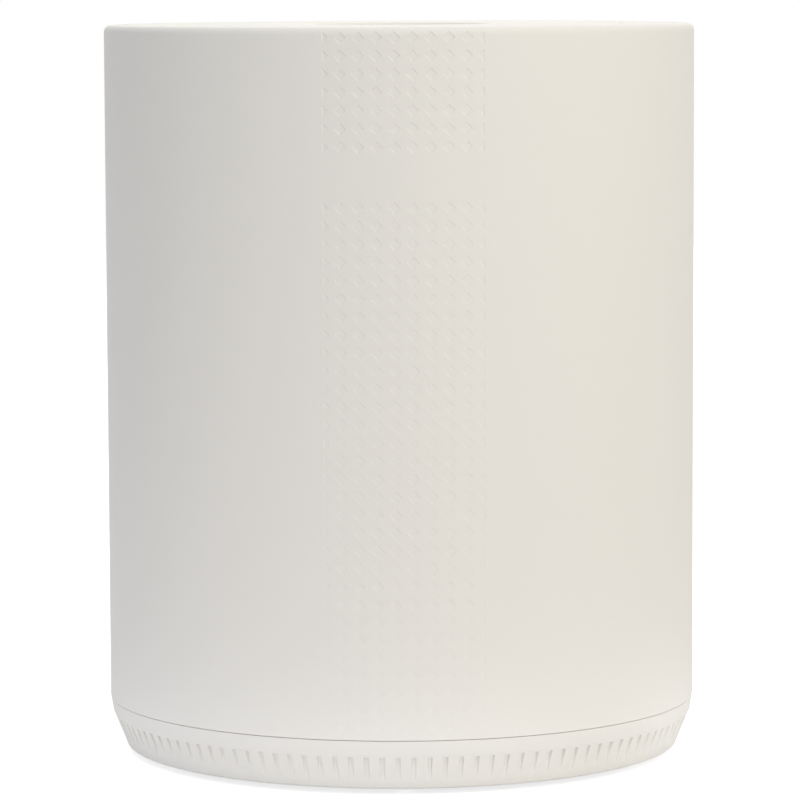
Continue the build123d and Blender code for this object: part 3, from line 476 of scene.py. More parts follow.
def heaped_granules():
    """Broken granules that lie on each other."""
    group, given, end = new_group("Heaped granules", 0.02, roughness=0.6, granule_size=0.003)
    cells = group.nodes.new("ShaderNodeTexVoronoi")
    group.links.new(object_place(group), cells.inputs["Vector"])
    per_metre = math(group, "DIVIDE", 1.0, given["Granule size"])
    group.links.new(per_metre, cells.inputs["Scale"])
    dome = math(group, "SUBTRACT", 1.0, cells.outputs["Distance"])
    tint = group.nodes.new("ShaderNodeSeparateXYZ")
    group.links.new(cells.outputs["Color"], tint.inputs[0])
    tone = scaled(group, tint.outputs[0], factor=1.6, offset=0.4)
    spread = math(group, "MULTIPLY", tint.outputs[1], GRANULE_SPREAD)
    return close_group(group, given, end, tone, spread, dome, GRANULE_HEIGHT)


def woven_wires():
    """A plain weave of thin wires across X and Z, dark between them."""
    group, given, end = new_group("Woven wires", 0.5, roughness=0.4, pitch=0.0014)
    place = split_place(group)
    turns = math(group, "DIVIDE", TURN, given["Pitch"])
    warp = math(group, "COSINE", math(group, "MULTIPLY", place[0], turns))
    weft = math(group, "COSINE", math(group, "MULTIPLY", place[2], turns))
    wires = math(group, "MAXIMUM", warp, weft)
    edge = math(group, "SUBTRACT", wires, WIRE_EDGE)
    solid = math(group, "MULTIPLY", edge, WIRE_SHARPNESS, clamp=True)
    tone = scaled(group, solid, factor=0.95, offset=0.05)
    spread = math(group, "SUBTRACT", 0.5, solid)
    return close_group(group, given, end, tone, spread, wires, WIRE_HEIGHT, clamp=False)


EFFECTS = {
    "grain": moulded_grain,
    "lines": turned_lines,
    "cast": cast_skin,
    "fibres": fibres,
    "granules": heaped_granules,
    "weave": woven_wires,
}
SHELL = {"Roughness": 0.55, "Grain size": 0.00035, "Grain height": 0.000012}
BOARD = {"Roughness": 0.3, "Grain size": 0.0012, "Cloud": 0.5}
LIGHT = {"Roughness": 0.25, "Grain height": 0.000003}
METAL = {"Metallic": 1.0}
# Colour, effect, its own values, and the shader's constant values, for each of the record's slots.
FINISHES = {
    "body": ("shell", "grain", SHELL, {}),
    "deck": ("shell", "grain", SHELL, {}),
    "lid": ("shell", "grain", {**SHELL, "Roughness": 0.5, "Grain height": 0.00001}, {}),
    "knob": ("knob", "grain", {"Roughness": 0.42, "Grain height": 0.000006}, {}),
    "inner_plastic": ("inner", "grain", {"Roughness": 0.5, "Cloud": 0.15}, {}),
    "black_plastic": ("black", "grain", {"Roughness": 0.45, "Cloud": 0.2}, {}),
    "rubber": ("rubber", "grain", {"Roughness": 0.8, "Grain height": 0.00003, "Cloud": 0.3}, {}),
    "seal": ("seal", "grain", {"Roughness": 0.62, "Grain height": 0.000008, "Cloud": 0.12}, {}),
    "steel": ("steel", "lines", {"Roughness": 0.32}, METAL),
    "cutter_steel": ("ground", "lines", {"Roughness": 0.26, "Marks": 0.25}, METAL),
    "bucket_metal": ("bucket", "cast", {"Roughness": 0.42, "Speckle": 2.2}, {"Coat Weight": 0.15}),
    "chamber_metal": ("chamber", "lines", {"Roughness": 0.36, "Line width": 0.0006}, METAL),
    "bush_metal": ("bronze", "cast", {"Roughness": 0.45, "Speckle": 0.4}, METAL),
    "gear_plastic": ("acetal", "grain", {"Roughness": 0.38, "Grain height": 0.000004}, {}),
    "felt": ("felt", "fibres", {}, {"Sheen Weight": 0.3}),
    "carbon": ("carbon", "granules", {}, {}),
    "mesh": ("mesh", "weave", {}, {"Metallic": 0.6}),
    "board": ("board", "grain", BOARD, {"Coat Weight": 0.4}),
    "light": ("light", "grain", LIGHT, {"Subsurface Weight": 0.2}),
    "contact": ("contact", "lines", {"Roughness": 0.25}, METAL),
    "magnet": ("magnet", "lines", {"Roughness": 0.2}, METAL),
}


def effect(name):
    """The shader group of an effect, made the first time it is asked for."""
    maker = EFFECTS[name]
    label = maker.__name__.replace("_", " ").capitalize()
    return bpy.data.node_groups.get(label) or maker()


def finish(slot):
    """The material of one of the record's slots."""
    if slot in bpy.data.materials:
        return bpy.data.materials[slot]
    tint, kind, values, constants = FINISHES[slot]
    material = bpy.data.materials.new(slot)
    material.use_nodes = True
    tree = material.node_tree
    shader = tree.nodes["Principled BSDF"]
    layer = tree.nodes.new("ShaderNodeGroup")
    layer.node_tree = effect(kind)
    layer.inputs["Colour"].default_value = (*getattr(colours(), tint), 1)
    for name, value in values.items():
        layer.inputs[name].default_value = value
    for name, value in constants.items():
        shader.inputs[name].default_value = value
    tree.links.new(layer.outputs["Colour"], shader.inputs["Base Color"])
    tree.links.new(layer.outputs["Roughness"], shader.inputs["Roughness"])
    tree.links.new(layer.outputs["Normal"], shader.inputs["Normal"])
    return material


# ---- modelling steps
MERGE = 0.002 * MM
CAD_MERGE = 0.001 * MM
FLAT_ANGLE = 0.3  # degrees: CAD triangles that lie this flat become one face
ROUND_FACETS = 5  # across a rounded corner of a turned outline
CORNER_FACETS = 6  # across a rounded corner of a slab
ROD_FACES = 32


def clear_selection():
    """Object mode, with nothing selected."""
    if bpy.context.mode != "OBJECT":
        bpy.ops.object.mode_set(mode="OBJECT")
    bpy.ops.object.select_all(action="DESELECT")


def hold(piece):
    """Select one object and make it the active one."""
    clear_selection()
    piece.select_set(True)
    bpy.context.view_layer.objects.active = piece


def primitive(name, add, **values):
    """A new object from one of Blender's mesh primitives."""
    clear_selection()
    add(**values)
    piece = bpy.context.object
    piece.name = name
    return piece


def open_mesh(piece):
    """Edit mode, with nothing selected."""
    hold(piece)
    bpy.ops.object.mode_set(mode="EDIT")
    bpy.ops.mesh.select_all(action="DESELECT")


def close_mesh():
    """Back to object mode."""
    bpy.ops.object.mode_set(mode="OBJECT")


def pick(piece, kind, test):
    """In edit mode, select just the verts, edges or faces that pass a test."""
    bpy.ops.mesh.select_mode(type={"verts": "VERT", "edges": "EDGE", "faces": "FACE"}[kind])
    bpy.ops.mesh.select_all(action="DESELECT")
    shape = bmesh.from_edit_mesh(piece.data)
    for element in getattr(shape, kind):
        element.select_set(test(element))
    shape.select_flush_mode()
    bmesh.update_edit_mesh(piece.data)


def step(scale, rise):
    """Extrude the selected ring to the next one of a turned shape."""
    bpy.ops.mesh.extrude_region_move(TRANSFORM_OT_translate={"value": (0, 0, rise)})
    if scale != 1:
        bpy.ops.transform.resize(value=(scale, scale, 1), center_override=(0, 0, 0))


def follow(start, rings):
    """Extrude the selected ring from one (radius, height) through all the others in turn."""
    radius, height = start
    for next_radius, next_height in rings:
        step(next_radius / radius, next_height - height)
        radius, height = next_radius, next_height


def settle(piece):
    """Merge doubles, turn the faces outwards and leave the object at the origin."""
    open_mesh(piece)
    bpy.ops.mesh.select_all(action="SELECT")
    bpy.ops.mesh.remove_doubles(threshold=MERGE)
    bpy.ops.mesh.normals_make_consistent(inside=False)
    close_mesh()
    bpy.ops.object.transform_apply(location=True, rotation=True, scale=True)


def turned(name, outline, faces=128, centre=(0, 0)):
    """A closed outline of (radius, height) points in metres, turned about an upright axis."""
    solid = outline[0][0] == 0
    rings = outline[1:-1] if solid else outline
    radius, height = rings[0]
    fill = "TRIFAN" if solid else "NOTHING"
    piece = primitive(
        name, bpy.ops.mesh.primitive_circle_add,
        vertices=faces, radius=radius, fill_type=fill, location=(0, 0, height),
    )
    bpy.ops.object.mode_set(mode="EDIT")
    if solid:
        pick(piece, "edges", lambda edge: edge.is_boundary)
    follow(rings[0], rings[1:] if solid else rings[1:] + rings[:1])
    if solid:
        step(1, 0)
        bpy.ops.mesh.merge(type="CENTER")
    close_mesh()
    settle(piece)
    if centre != (0, 0):
        piece.location = (*centre, 0)
        bpy.ops.object.transform_apply(location=True)
    return piece


def rounded(outline):
    """An outline in millimetres, in metres; a point's third value is the radius of its corner."""
    points = [Vector(point[:2]) * MM for point in outline]
    radii = [point[2] * MM if len(point) > 2 else 0 for point in outline]
    result = []
    for number, (corner, radius) in enumerate(zip(points, radii)):
        if not radius:
            result.append(tuple(corner))
            continue
        back = (points[number - 1] - corner).normalized()
        ahead = (points[(number + 1) % len(points)] - corner).normalized()
        half = back.angle(ahead) / 2
        centre = corner + (back + ahead).normalized() * (radius / sin(half))
        start = corner + back * (radius / tan(half)) - centre
        end = corner + ahead * (radius / tan(half)) - centre
        sweep = start.angle_signed(end)
        for facet in range(ROUND_FACETS + 1):
            arm = start.copy()
            arm.rotate(Matrix.Rotation(-sweep * facet / ROUND_FACETS, 2))
            result.append(tuple(centre + arm))
    return result


def soften(piece, width=0.0, angle=30):
    """Round a piece's corners and shade it smooth between its edges."""
    hold(piece)
    if width:
        edges = piece.modifiers.new("Edges", "BEVEL")
        edges.width = width
        edges.segments = 2
        edges.limit_method = "ANGLE"
        edges.angle_limit = radians(angle)
        bpy.ops.object.modifier_apply(modifier=edges.name)
    bpy.ops.object.shade_smooth_by_angle(angle=radians(angle))
    return piece


def slab(name, low, high, corner=0.0, along="Y"):
    """A box between two corners, with its four edges along one axis rounded."""
    middle = [(a + b) / 2 for a, b in zip(low, high)]
    piece = primitive(name, bpy.ops.mesh.primitive_cube_add, size=1, location=middle)
    piece.scale = [b - a for a, b in zip(low, high)]
    bpy.ops.object.transform_apply(location=True, scale=True)
    if corner:
        axis = "XYZ".index(along)
        bpy.ops.object.mode_set(mode="EDIT")
        pick(piece, "edges", lambda e: abs(e.verts[0].co[axis] - e.verts[1].co[axis]) > EXACT)
        bpy.ops.mesh.bevel(offset=corner, segments=CORNER_FACETS, affect="EDGES")
        close_mesh()
    return piece


def rod(name, radius, start, end, faces=ROD_FACES):
    """A round rod between two points."""
    start, end = Vector(start), Vector(end)
    axis = end - start
    turn = axis.to_track_quat("Z", "Y").to_euler()
    piece = primitive(
        name, bpy.ops.mesh.primitive_cylinder_add, vertices=faces, radius=radius,
        depth=axis.length, location=(start + end) / 2, rotation=turn,
    )
    bpy.ops.object.transform_apply(location=True, rotation=True)
    return piece


def shape_with(piece, tool, operation):
    """Apply a Boolean with another object, and take that object away."""
    hold(piece)
    change = piece.modifiers.new("Change", "BOOLEAN")
    change.operation = operation
    change.solver = "EXACT"
    change.object = tool
    bpy.ops.object.modifier_apply(modifier=change.name)
    bpy.data.objects.remove(tool)


def cut(piece, tool):
    """Take a tool's shape out of a piece, and the tool away."""
    shape_with(piece, tool, "DIFFERENCE")


def weld(piece, addition):
    """Run another shape together with a piece."""
    shape_with(piece, addition, "UNION")


def scattered(piece, places):
    """Copies of a piece, one at each place, joined as one object."""
    copies = []
    for place in places:
        copy = bpy.data.objects.new(piece.name, piece.data.copy())
        bpy.context.scene.collection.objects.link(copy)
        copy.data.transform(Matrix.Translation(place))
        copies.append(copy)
    name = piece.name
    bpy.data.objects.remove(piece)
    clear_selection()
    for copy in copies:
        copy.select_set(True)
    bpy.context.view_layer.objects.active = copies[0]
    bpy.ops.object.join()
    copies[0].name = name
    return copies[0]


def fit(piece, *nodes):
    """Give a finished piece its material and its body, and hide the CAD nodes that it stands for.
    """
    slot = SLOTS[nodes[0]]
    piece.data.materials.clear()
    piece.data.materials.append(finish(slot))
    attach(piece, BODIES[nodes[0]])
    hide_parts(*nodes)
    return piece


def dressed(node, edge=0.0, angle=30):
    """A CAD node whose shape is right: its triangles merged, its corners softened."""
    piece = bpy.data.objects.new(node + "_dressed", NODES[node].data.copy())
    bpy.context.scene.collection.objects.link(piece)
    open_mesh(piece)
    bpy.ops.mesh.select_all(action="SELECT")
    bpy.ops.mesh.remove_doubles(threshold=CAD_MERGE)
    bpy.ops.mesh.dissolve_limited(angle_limit=radians(FLAT_ANGLE))
    close_mesh()
    soften(piece, edge, angle)
    return fit(piece, node)


def dress(**edges):
    """Finish CAD nodes, each with the width of its softened corners in millimetres."""
    for node, edge in edges.items():
        dressed(node, edge * MM)


# ---- the drum
HALF_COLUMN = TURN / POCKET_COLUMNS / 2
BORDER = 2 * FULL_COLUMNS + 1  # half columns from the middle to the pockets that are cut in half
COLUMN_EXACT = 0.01  # in half columns
ROW_EXACT = 0.05 * MM


def column(place):
    """How many half columns a place lies from the middle of the front."""
    return atan2(place.x, -place.y) / HALF_COLUMN


def ring_heights(half_pitch):
    """The grid's rings: half a row apart in the two fields, and even between them."""
    lines = []
    for first, count in ROWS:
        lines += [first + half_pitch - n * half_pitch for n in range(2 * count + 1)]
    upper_end, lower_start = lines[2 * ROWS[0][1]], lines[2 * ROWS[0][1] + 1]
    bare = (upper_end - lower_start) / (GAP_LINES + 1)
    return lines + [upper_end - bare * (n + 1) for n in range(GAP_LINES)]


def carve_pockets(piece, size):
    """Make a diamond of each crossing in the middle of a pocket, and sink it."""
    rows = [first - n * size.row_pitch for first, count in ROWS for n in range(count)]

    def crossing(vertex):
        """The middle of a pocket."""
        across = column(vertex.co)
        whole = round(across)
        if abs(across - whole) > COLUMN_EXACT or whole % 2 == 0 or abs(whole) > BORDER:
            return False
        return any(abs(vertex.co.z - row) < ROW_EXACT for row in rows)

    def border_tip(vertex):
        """The upper or lower tip of a pocket on the border."""
        if abs(abs(column(vertex.co)) - BORDER) > COLUMN_EXACT:
            return False
        return any(abs(abs(vertex.co.z - row) - size.pocket_reach) < ROW_EXACT for row in rows)

    def pocket(face, row):
        """A pocket of one row, whole or cut in half."""
        middle = face.calc_center_median()
        if abs(middle.z - row) > ROW_EXACT or len(face.verts) > 4:
            return False
        across = abs(column(middle))
        if len(face.verts) == 3:
            return BORDER - 1 < across < BORDER
        reach = max(abs(v.co.z - row) for v in face.verts)
        return across < BORDER - 1 and abs(reach - size.pocket_reach) < ROW_EXACT

    pick(piece, "verts", crossing)
    bpy.ops.mesh.bevel(
        affect="VERTICES", offset=size.pocket_reach, offset_type="OFFSET", segments=1
    )
    # The border columns keep only the half that faces the middle.
    pick(piece, "verts", border_tip)
    bpy.ops.mesh.vert_connect()
    for number, row in enumerate(rows):
        share = LOWEST_SHARE + (1 - LOWEST_SHARE) * (1 - number / (len(rows) - 1)) ** 2
        pick(piece, "faces", lambda face: pocket(face, row))
        bpy.ops.mesh.inset(
            thickness=size.pocket_slope, depth=-size.pocket_depth * share,
            use_individual=True, use_even_offset=True,
        )


def roll_edges(piece, size, edge_low, bend_high):
    """Roll the straight wall's two ends over their rounded edges."""
    for vertex in piece.data.vertices:
        x, y, z = vertex.co
        radius = hypot(x, y)
        sunk = DRUM_RADIUS - radius
        if z > edge_low:
            bend, end = size.top_edge, edge_low
            turn = (z - edge_low) / bend
            rise = (bend - sunk) * sin(turn)
        elif z < bend_high:
            bend, end = size.lower_bend, bend_high
            turn = (bend_high - z) / bend
            rise = (sunk - bend) * sin(turn)
        else:
            continue
        out = DRUM_RADIUS - bend + (bend - sunk) * cos(turn)
        vertex.co = (x * out / radius, y * out / radius, end + rise)


class COMPOSTER_OT_drum(bpy.types.Operator):
    """Model the drum with its front band of square pockets"""

    bl_idname = "composter.drum"
    bl_label = "Drum"

    def execute(self, context):
        size = sizes()
        edge_low = TOP - size.top_edge
        bend_angle = acos(1 - BEND_DEPTH / size.lower_bend)
        bend_high = SEAM_HIGH + size.lower_bend * sin(bend_angle)
        # The wall stands straight at first, with the length of both rounded edges.
        top_line = edge_low + size.top_edge * pi / 2
        low_line = bend_high - size.lower_bend * bend_angle
        piece = primitive(
            "drum", bpy.ops.mesh.primitive_circle_add,
            vertices=2 * POCKET_COLUMNS, radius=DRUM_RADIUS, location=(0, 0, top_line),
        )
        bpy.ops.object.mode_set(mode="EDIT")
        height = top_line
        for line in sorted(ring_heights(size.row_pitch / 2) + [low_line], reverse=True):
            step(1, line - height)
            height = line
        close_mesh()
        settle(piece)

        open_mesh(piece)
        carve_pockets(piece, size)
        rolls = [edge_low + (top_line - edge_low) * n / TOP_RINGS for n in range(TOP_RINGS)]
        rolls += [bend_high + (low_line - bend_high) * n / BEND_RINGS for n in range(BEND_RINGS)]
        for line in rolls:
            bpy.ops.mesh.select_all(action="SELECT")
            bpy.ops.mesh.bisect(plane_co=(0, 0, line), plane_no=(0, 0, 1), threshold=EXACT)
        close_mesh()
        roll_edges(piece, size, edge_low, bend_high)

        # From the top edge inwards, down the inside and out again to the lower lip.
        inner = DRUM_RADIUS - WALL
        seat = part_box("top_deck")[1].x + DECK_GAP
        rebate = TOP - WALL - DECK_DROP
        open_mesh(piece)
        pick(piece, "edges", lambda edge: edge.is_boundary and edge.verts[0].co.z > TOP - ROW_EXACT)
        follow((DRUM_RADIUS - size.top_edge, TOP), (
            (seat, TOP), (seat, rebate),
            (seat - SHELF_WIDTH, rebate), (seat - SHELF_WIDTH, rebate - WALL),
            (inner, rebate - WALL), (inner, SEAM_HIGH + WALL),
            (inner - LIP_WIDTH, SEAM_HIGH + WALL), (inner - LIP_WIDTH, SEAM_HIGH),
            (DRUM_RADIUS - BEND_DEPTH, SEAM_HIGH),
        ))
        close_mesh()
        settle(piece)
        self.openings(piece)
        soften(piece, angle=DRUM_ANGLE)
        fit(piece, "outer_sleeve")
        return {"FINISHED"}

    def openings(self, piece):
        """Cut the windows of the drawer and the inlet, and sink the bare field."""
        low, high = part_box("filter_drawer")
        low = (low.x - WINDOW_GAP, CUT_FROM, low.z - WINDOW_GAP)
        high = (high.x + WINDOW_GAP, CUT_TO, high.z + WINDOW_GAP)
        cut(piece, slab("window", low, high, WINDOW_CORNER))
        low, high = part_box("power_inlet")
        middle = (low.z + high.z) / 2
        low = (-INLET_HALF[0], CUT_FROM, middle - INLET_HALF[1])
        high = (INLET_HALF[0], CUT_TO, middle + INLET_HALF[1])
        cut(piece, slab("inlet_window", low, high, INLET_CORNER))
        field = slab("bare_field", *FIELD_BOX, FIELD_CORNER)
        core = primitive(
            "core", bpy.ops.mesh.primitive_cylinder_add, vertices=2 * POCKET_COLUMNS,
            radius=DRUM_RADIUS - FIELD_DEPTH, depth=FIELD_CORE, location=(0, 0, FIELD_CORE / 2),
        )
        cut(field, core)
        cut(piece, field)


# ---- the skirt and the underside
SKIRT_TOP = SEAM_HIGH - SEAM_GAP
GROOVE_STEP = (GROOVE_HIGH - GROOVE_LOW) / (GROOVE_RINGS - 1)
GROOVE_HEIGHTS = [GROOVE_LOW + GROOVE_STEP * n for n in range(GROOVE_RINGS)]


def skirt_outline():
    """The skirt's outline, from its lower edge up its outside and down its inside."""
    lean = atan2(SKIRT_BEND_RADIUS - SKIRT_BOTTOM_RADIUS, SKIRT_BEND_HIGH - SKIRT_FOOT)
    upper_slope = (SKIRT_TOP_RADIUS - SKIRT_BEND_RADIUS) / (SKIRT_TOP - SKIRT_BEND_HIGH)

    def wall(height):
        """The outer radius at a height."""
        if height > SKIRT_BEND_HIGH:
            return SKIRT_BEND_RADIUS + (height - SKIRT_BEND_HIGH) * upper_slope
        return SKIRT_BOTTOM_RADIUS + (height - SKIRT_FOOT) * tan(lean)

    # The lower edge is an arc that meets the underside and the leaning wall.
    arc_out = SKIRT_EDGE * cos(lean) - SKIRT_EDGE * (1 - sin(lean)) * tan(lean)
    centre = SKIRT_BOTTOM_RADIUS - arc_out
    outline = []
    for number in range(EDGE_RINGS + 1):
        turn = -pi / 2 + (pi / 2 - lean) * number / EDGE_RINGS
        height = SKIRT_FOOT + SKIRT_EDGE * (1 + sin(turn))
        outline.append((centre + SKIRT_EDGE * cos(turn), height))
    outline += [(wall(height), height) for height in GROOVE_HEIGHTS]
    band = BAND_HIGH + BAND_STEP
    rim = SKIRT_TOP - RIM_HIGH
    neck = SKIRT_RADIUS - NECK_INSET
    shelf = SKIRT_HIGH.z
    ring_low = SKIRT_FOOT + SKIRT_WALL + PAN_GAP
    ledge = ring_low + PAN_LEDGE[1]
    return outline + [
        (wall(BAND_HIGH), BAND_HIGH), (wall(band) + BAND_STEP * BAND_LEAN, band),
        (wall(rim), rim), (wall(SKIRT_TOP) - RIM_WIDE, SKIRT_TOP),
        (neck, SKIRT_TOP), (neck, shelf),
        (neck - FLANGE_WIDTH, shelf), (neck - FLANGE_WIDTH, shelf - SKIRT_WALL),
        (neck - NECK_WALL, shelf - SKIRT_WALL), (SKIRT_INNER + PAN_LEDGE[0], ledge),
        (SKIRT_INNER - FLANGE_WIDTH, ledge), (SKIRT_INNER - FLANGE_WIDTH, ring_low),
        (SKIRT_INNER, ring_low), (SKIRT_INNER, SKIRT_FOOT),
    ]


def in_groove(face):
    """An outer face of the skirt where a groove will be."""
    middle = face.calc_center_median()
    if not GROOVE_LOW < middle.z < GROOVE_HIGH:
        return False
    across = atan2(middle.y, middle.x) / TURN * SKIRT_FACES
    outer = hypot(middle.x, middle.y) > SKIRT_INNER + SKIRT_WALL
    return outer and across // 1 % FACES_PER_GROOVE == 1 and face.normal.dot(middle) > 0


class COMPOSTER_OT_skirt(bpy.types.Operator):
    """Model the tapered skirt with its ring of upright grooves"""

    bl_idname = "composter.skirt"
    bl_label = "Skirt"

    def execute(self, context):
        size = sizes()
        piece = turned("skirt", skirt_outline(), SKIRT_FACES)
        open_mesh(piece)
        pick(piece, "faces", in_groove)
        bpy.ops.mesh.inset(
            thickness=size.groove_slope, depth=-size.groove_depth, use_even_offset=True
        )
        # Ring by ring the floors come out again, so that each groove runs out downwards.
        bpy.ops.mesh.select_mode(type="VERT")
        outwards = 1 + size.groove_depth / (GROOVE_RINGS - 2) / SKIRT_BOTTOM_RADIUS
        for height in reversed(GROOVE_HEIGHTS[1:-1]):
            self.keep_selected_below(piece, height - GROOVE_STEP / 2)
            bpy.ops.transform.resize(value=(outwards, outwards, 1), center_override=(0, 0, 0))
        close_mesh()
        soften(piece, angle=SKIRT_ANGLE)
        fit(piece, "base_skirt")
        return {"FINISHED"}

    def keep_selected_below(self, piece, height):
        """Let go of the selected verts that lie above a height."""
        shape = bmesh.from_edit_mesh(piece.data)
        for vertex in shape.verts:
            if vertex.select and vertex.co.z > height:
                vertex.select_set(False)
        shape.select_flush_mode()
        bmesh.update_edit_mesh(piece.data)


class COMPOSTER_OT_underside(bpy.types.Operator):
    """Model the feet and finish the pan and its screws"""

    bl_idname = "composter.underside"
    bl_label = "Underside"

    def execute(self, context):
        foot = soften(turned("feet", rounded(FOOT_OUTLINE), FOOT_FACES))
        orbit = FOOT_ORBIT * cos(pi / 4)
        foot = scattered(foot, [(x, y, 0) for x in (-orbit, orbit) for y in (-orbit, orbit)])
        fit(foot, "feet")
        dress(base_pan=0.4, pan_screws=0.15, sleeve_screws=0.15)
        return {"FINISHED"}


# ---- the deck, the lid and the bucket
def cut_for_bolts(piece, name, inner, outer, gap, corner):
    """Cut room for the bolts on the left and on the right."""
    bolt_low, bolt_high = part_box("lock_bolt_right")
    for low_x, high_x in ((inner, outer), (-outer, -inner)):
        low = (low_x, bolt_low.y - gap, bolt_low.z - gap)
        high = (high_x, bolt_high.y + gap, bolt_high.z + gap)
        cut(piece, slab(name, low, high, corner, "X"))


def upright(radius, place, low, high, faces):
    """An upright rod between two heights."""
    return rod("upright", radius, (*place, low), (*place, high), faces)


class COMPOSTER_OT_deck(bpy.types.Operator):
    """Model the flat ring round the lid, with its button and its lights"""

    bl_idname = "composter.deck"
    bl_label = "Deck and controls"

    def execute(self, context):
        deck = turned("deck", rounded(DECK_OUTLINE), ROUND_FACES)
        low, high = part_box("start_button")
        ahead = (low.y + high.y) / 2
        for side in (-STUD_PLACE, STUD_PLACE):
            weld(deck, upright(STUD_RADIUS, (side, ahead), STUD_LOW, STUD_HIGH, ROD_FACES))
        cut_for_bolts(deck, "bolt_pocket", *DECK_POCKET)
        hole = BUTTON_RADIUS + BUTTON_GAP
        cut(deck, upright(hole, (0, ahead), HOLE_LOW, HOLE_HIGH, BUTTON_FACES))
        for angle in LIGHT_ANGLES:
            place = (-ahead * cos(radians(angle)), ahead * sin(radians(-angle)))
            hole = LIGHT_RADIUS + LIGHT_GAP
            cut(deck, upright(hole, place, HOLE_LOW, HOLE_HIGH, LIGHT_FACES))
        fit(soften(deck, width=0.15 * MM, angle=40), "top_deck")

        button = turned("button", rounded(BUTTON_OUTLINE), BUTTON_FACES, (0, ahead))
        fit(soften(button), "start_button")
        dress(status_lights=0.25, control_board=0, tact_switch=0.2, lid_sensor=0.3)
        return {"FINISHED"}


class COMPOSTER_OT_lid(bpy.types.Operator):
    """Model the lid's shell with its dish, and its knob"""

    bl_idname = "composter.lid"
    bl_label = "Lid"

    def execute(self, context):
        shell = turned("lid", rounded(LID_OUTLINE), ROUND_FACES)
        cut_for_bolts(shell, "bolt_window", *LID_WINDOW)
        fit(soften(shell), "lid_shell")
        knob = turned("knob", rounded(KNOB_OUTLINE), ROUND_FACES)
        weld(knob, self.grip())
        fit(soften(knob, angle=35), "lid_knob")
        dress(lid_liner=0.4, lid_gasket=0.5, lid_magnet=0.3)
        dress(lock_cam=0.3, lock_bolt_left=0.3, lock_bolt_right=0.3)
        return {"FINISHED"}

    def grip(self):
        """The knob's upright grip: a long round-ended prism that leans in, with a soft edge."""
        low = KNOB_DISC_HIGH - GRIP_SUNK
        grip = primitive(
            "grip", bpy.ops.mesh.primitive_circle_add,
            vertices=GRIP_FACES, radius=GRIP_WIDTH / 2, fill_type="NGON", location=(0, 0, low),
        )
        stretch = (GRIP_LENGTH - GRIP_WIDTH) / 2
        for vertex in grip.data.vertices:
            if abs(vertex.co.x) > EXACT:
                vertex.co.x += stretch if vertex.co.x > 0 else -stretch
        rise = GRIP_HIGH - low
        lean = tan(radians(GRIP_LEAN)) * rise
        open_mesh(grip)
        bpy.ops.mesh.select_all(action="SELECT")
        bpy.ops.mesh.extrude_region_move(TRANSFORM_OT_translate={"value": (0, 0, rise)})
        bpy.ops.transform.resize(
            value=(1 - 2 * lean / GRIP_LENGTH, 1 - 2 * lean / GRIP_WIDTH, 1),
            center_override=(0, 0, GRIP_HIGH),
        )
        pick(grip, "edges", lambda edge: min(v.co.z for v in edge.verts) > rise - EXACT)
        bpy.ops.mesh.bevel(offset=GRIP_EDGE, segments=CORNER_FACETS, affect="EDGES")
        close_mesh()
        settle(grip)
        return grip


class COMPOSTER_OT_bucket(bpy.types.Operator):
    """Model the bucket with its ears, and finish its handle and cutters"""

    bl_idname = "composter.bucket"
    bl_label = "Bucket"

    def execute(self, context):
        bucket = turned("bucket_shell", rounded(BUCKET_OUTLINE), BUCKET_FACES)
        for side in (-1, 1):
            inner, outer = sorted(side * reach for reach in EAR_REACH)
            low, high = (inner, -EAR_HALF, EAR_LOW), (outer, EAR_HALF, EAR_HIGH)
            weld(bucket, slab("ear", low, high, EAR_CORNER, "X"))
            start, end = ((side * reach, 0, PIVOT_HIGH) for reach in PIVOT_REACH)
            cut(bucket, rod("pivot", PIVOT_RADIUS, start, end))
            inner, outer = sorted(side * reach for reach in SLOT_REACH)
            low, high = (-SLOT_HALF, inner, SLOT_LOW), (SLOT_HALF, outer, SLOT_HIGH)
            cut(bucket, slab("slot", low, high, SLOT_CORNER))
        fit(soften(bucket, width=0.2 * MM, angle=50), "bucket")
        dressed("bucket_bail", angle=40)
        dress(bail_grip=0.6, fixed_cutters=0.2, shaft_bush=0.2, shaft_seal=0.5)
        return {"FINISHED"}


# ---- what keeps its CAD shape
class COMPOSTER_OT_grinder(bpy.types.Operator):
    """Finish the hub, its two tiers of blades, its nut and its coupling"""

    bl_idname = "composter.grinder"
    bl_label = "Grinder"

    def execute(self, context):
        dress(grinder_hub=0.4, grinder_blades=0.3, hub_nut=0.4, grinder_coupling=0.4)
        return {"FINISHED"}


class COMPOSTER_OT_chamber(bpy.types.Operator):
    """Finish the heated chamber and what warms it"""

    bl_idname = "composter.chamber"
    bl_label = "Heated chamber"

    def execute(self, context):
        dress(chamber_liner=0.4, chamber_insulation=1.0)
        dress(heater_plate=0.4, heater_element=0, thermostat=0.6)
        return {"FINISHED"}


class COMPOSTER_OT_drive(bpy.types.Operator):
    """Finish the motor, the gears, their box and the driving dog"""

    bl_idname = "composter.drive"
    bl_label = "Drive"

    def execute(self, context):
        dress(output_gear=0.1, idler_gear=0.1, motor_pinion=0.1, drive_dog=0.25)
        dress(output_shaft=0.25, idler_pin=0.25, gearbox_screws=0.25, shaft_bushes=0.25)
        dress(motor_can=0.6, gearbox_lower=0.6, gearbox_upper=0.6)
        return {"FINISHED"}


class COMPOSTER_OT_air_path(bpy.types.Operator):
    """Finish the fan, its duct, the filter drawer and what it holds"""

    bl_idname = "composter.air_path"
    bl_label = "Fan and filter"

    def execute(self, context):
        dress(air_duct=0.5, fan_housing=0.8, fan_impeller=0.2, fan_motor=0.4)
        dress(filter_box=0.6, filter_drawer=0.4, carbon_cassette=0.4)
        dress(carbon_granules=0, cassette_mesh=0)
        return {"FINISHED"}


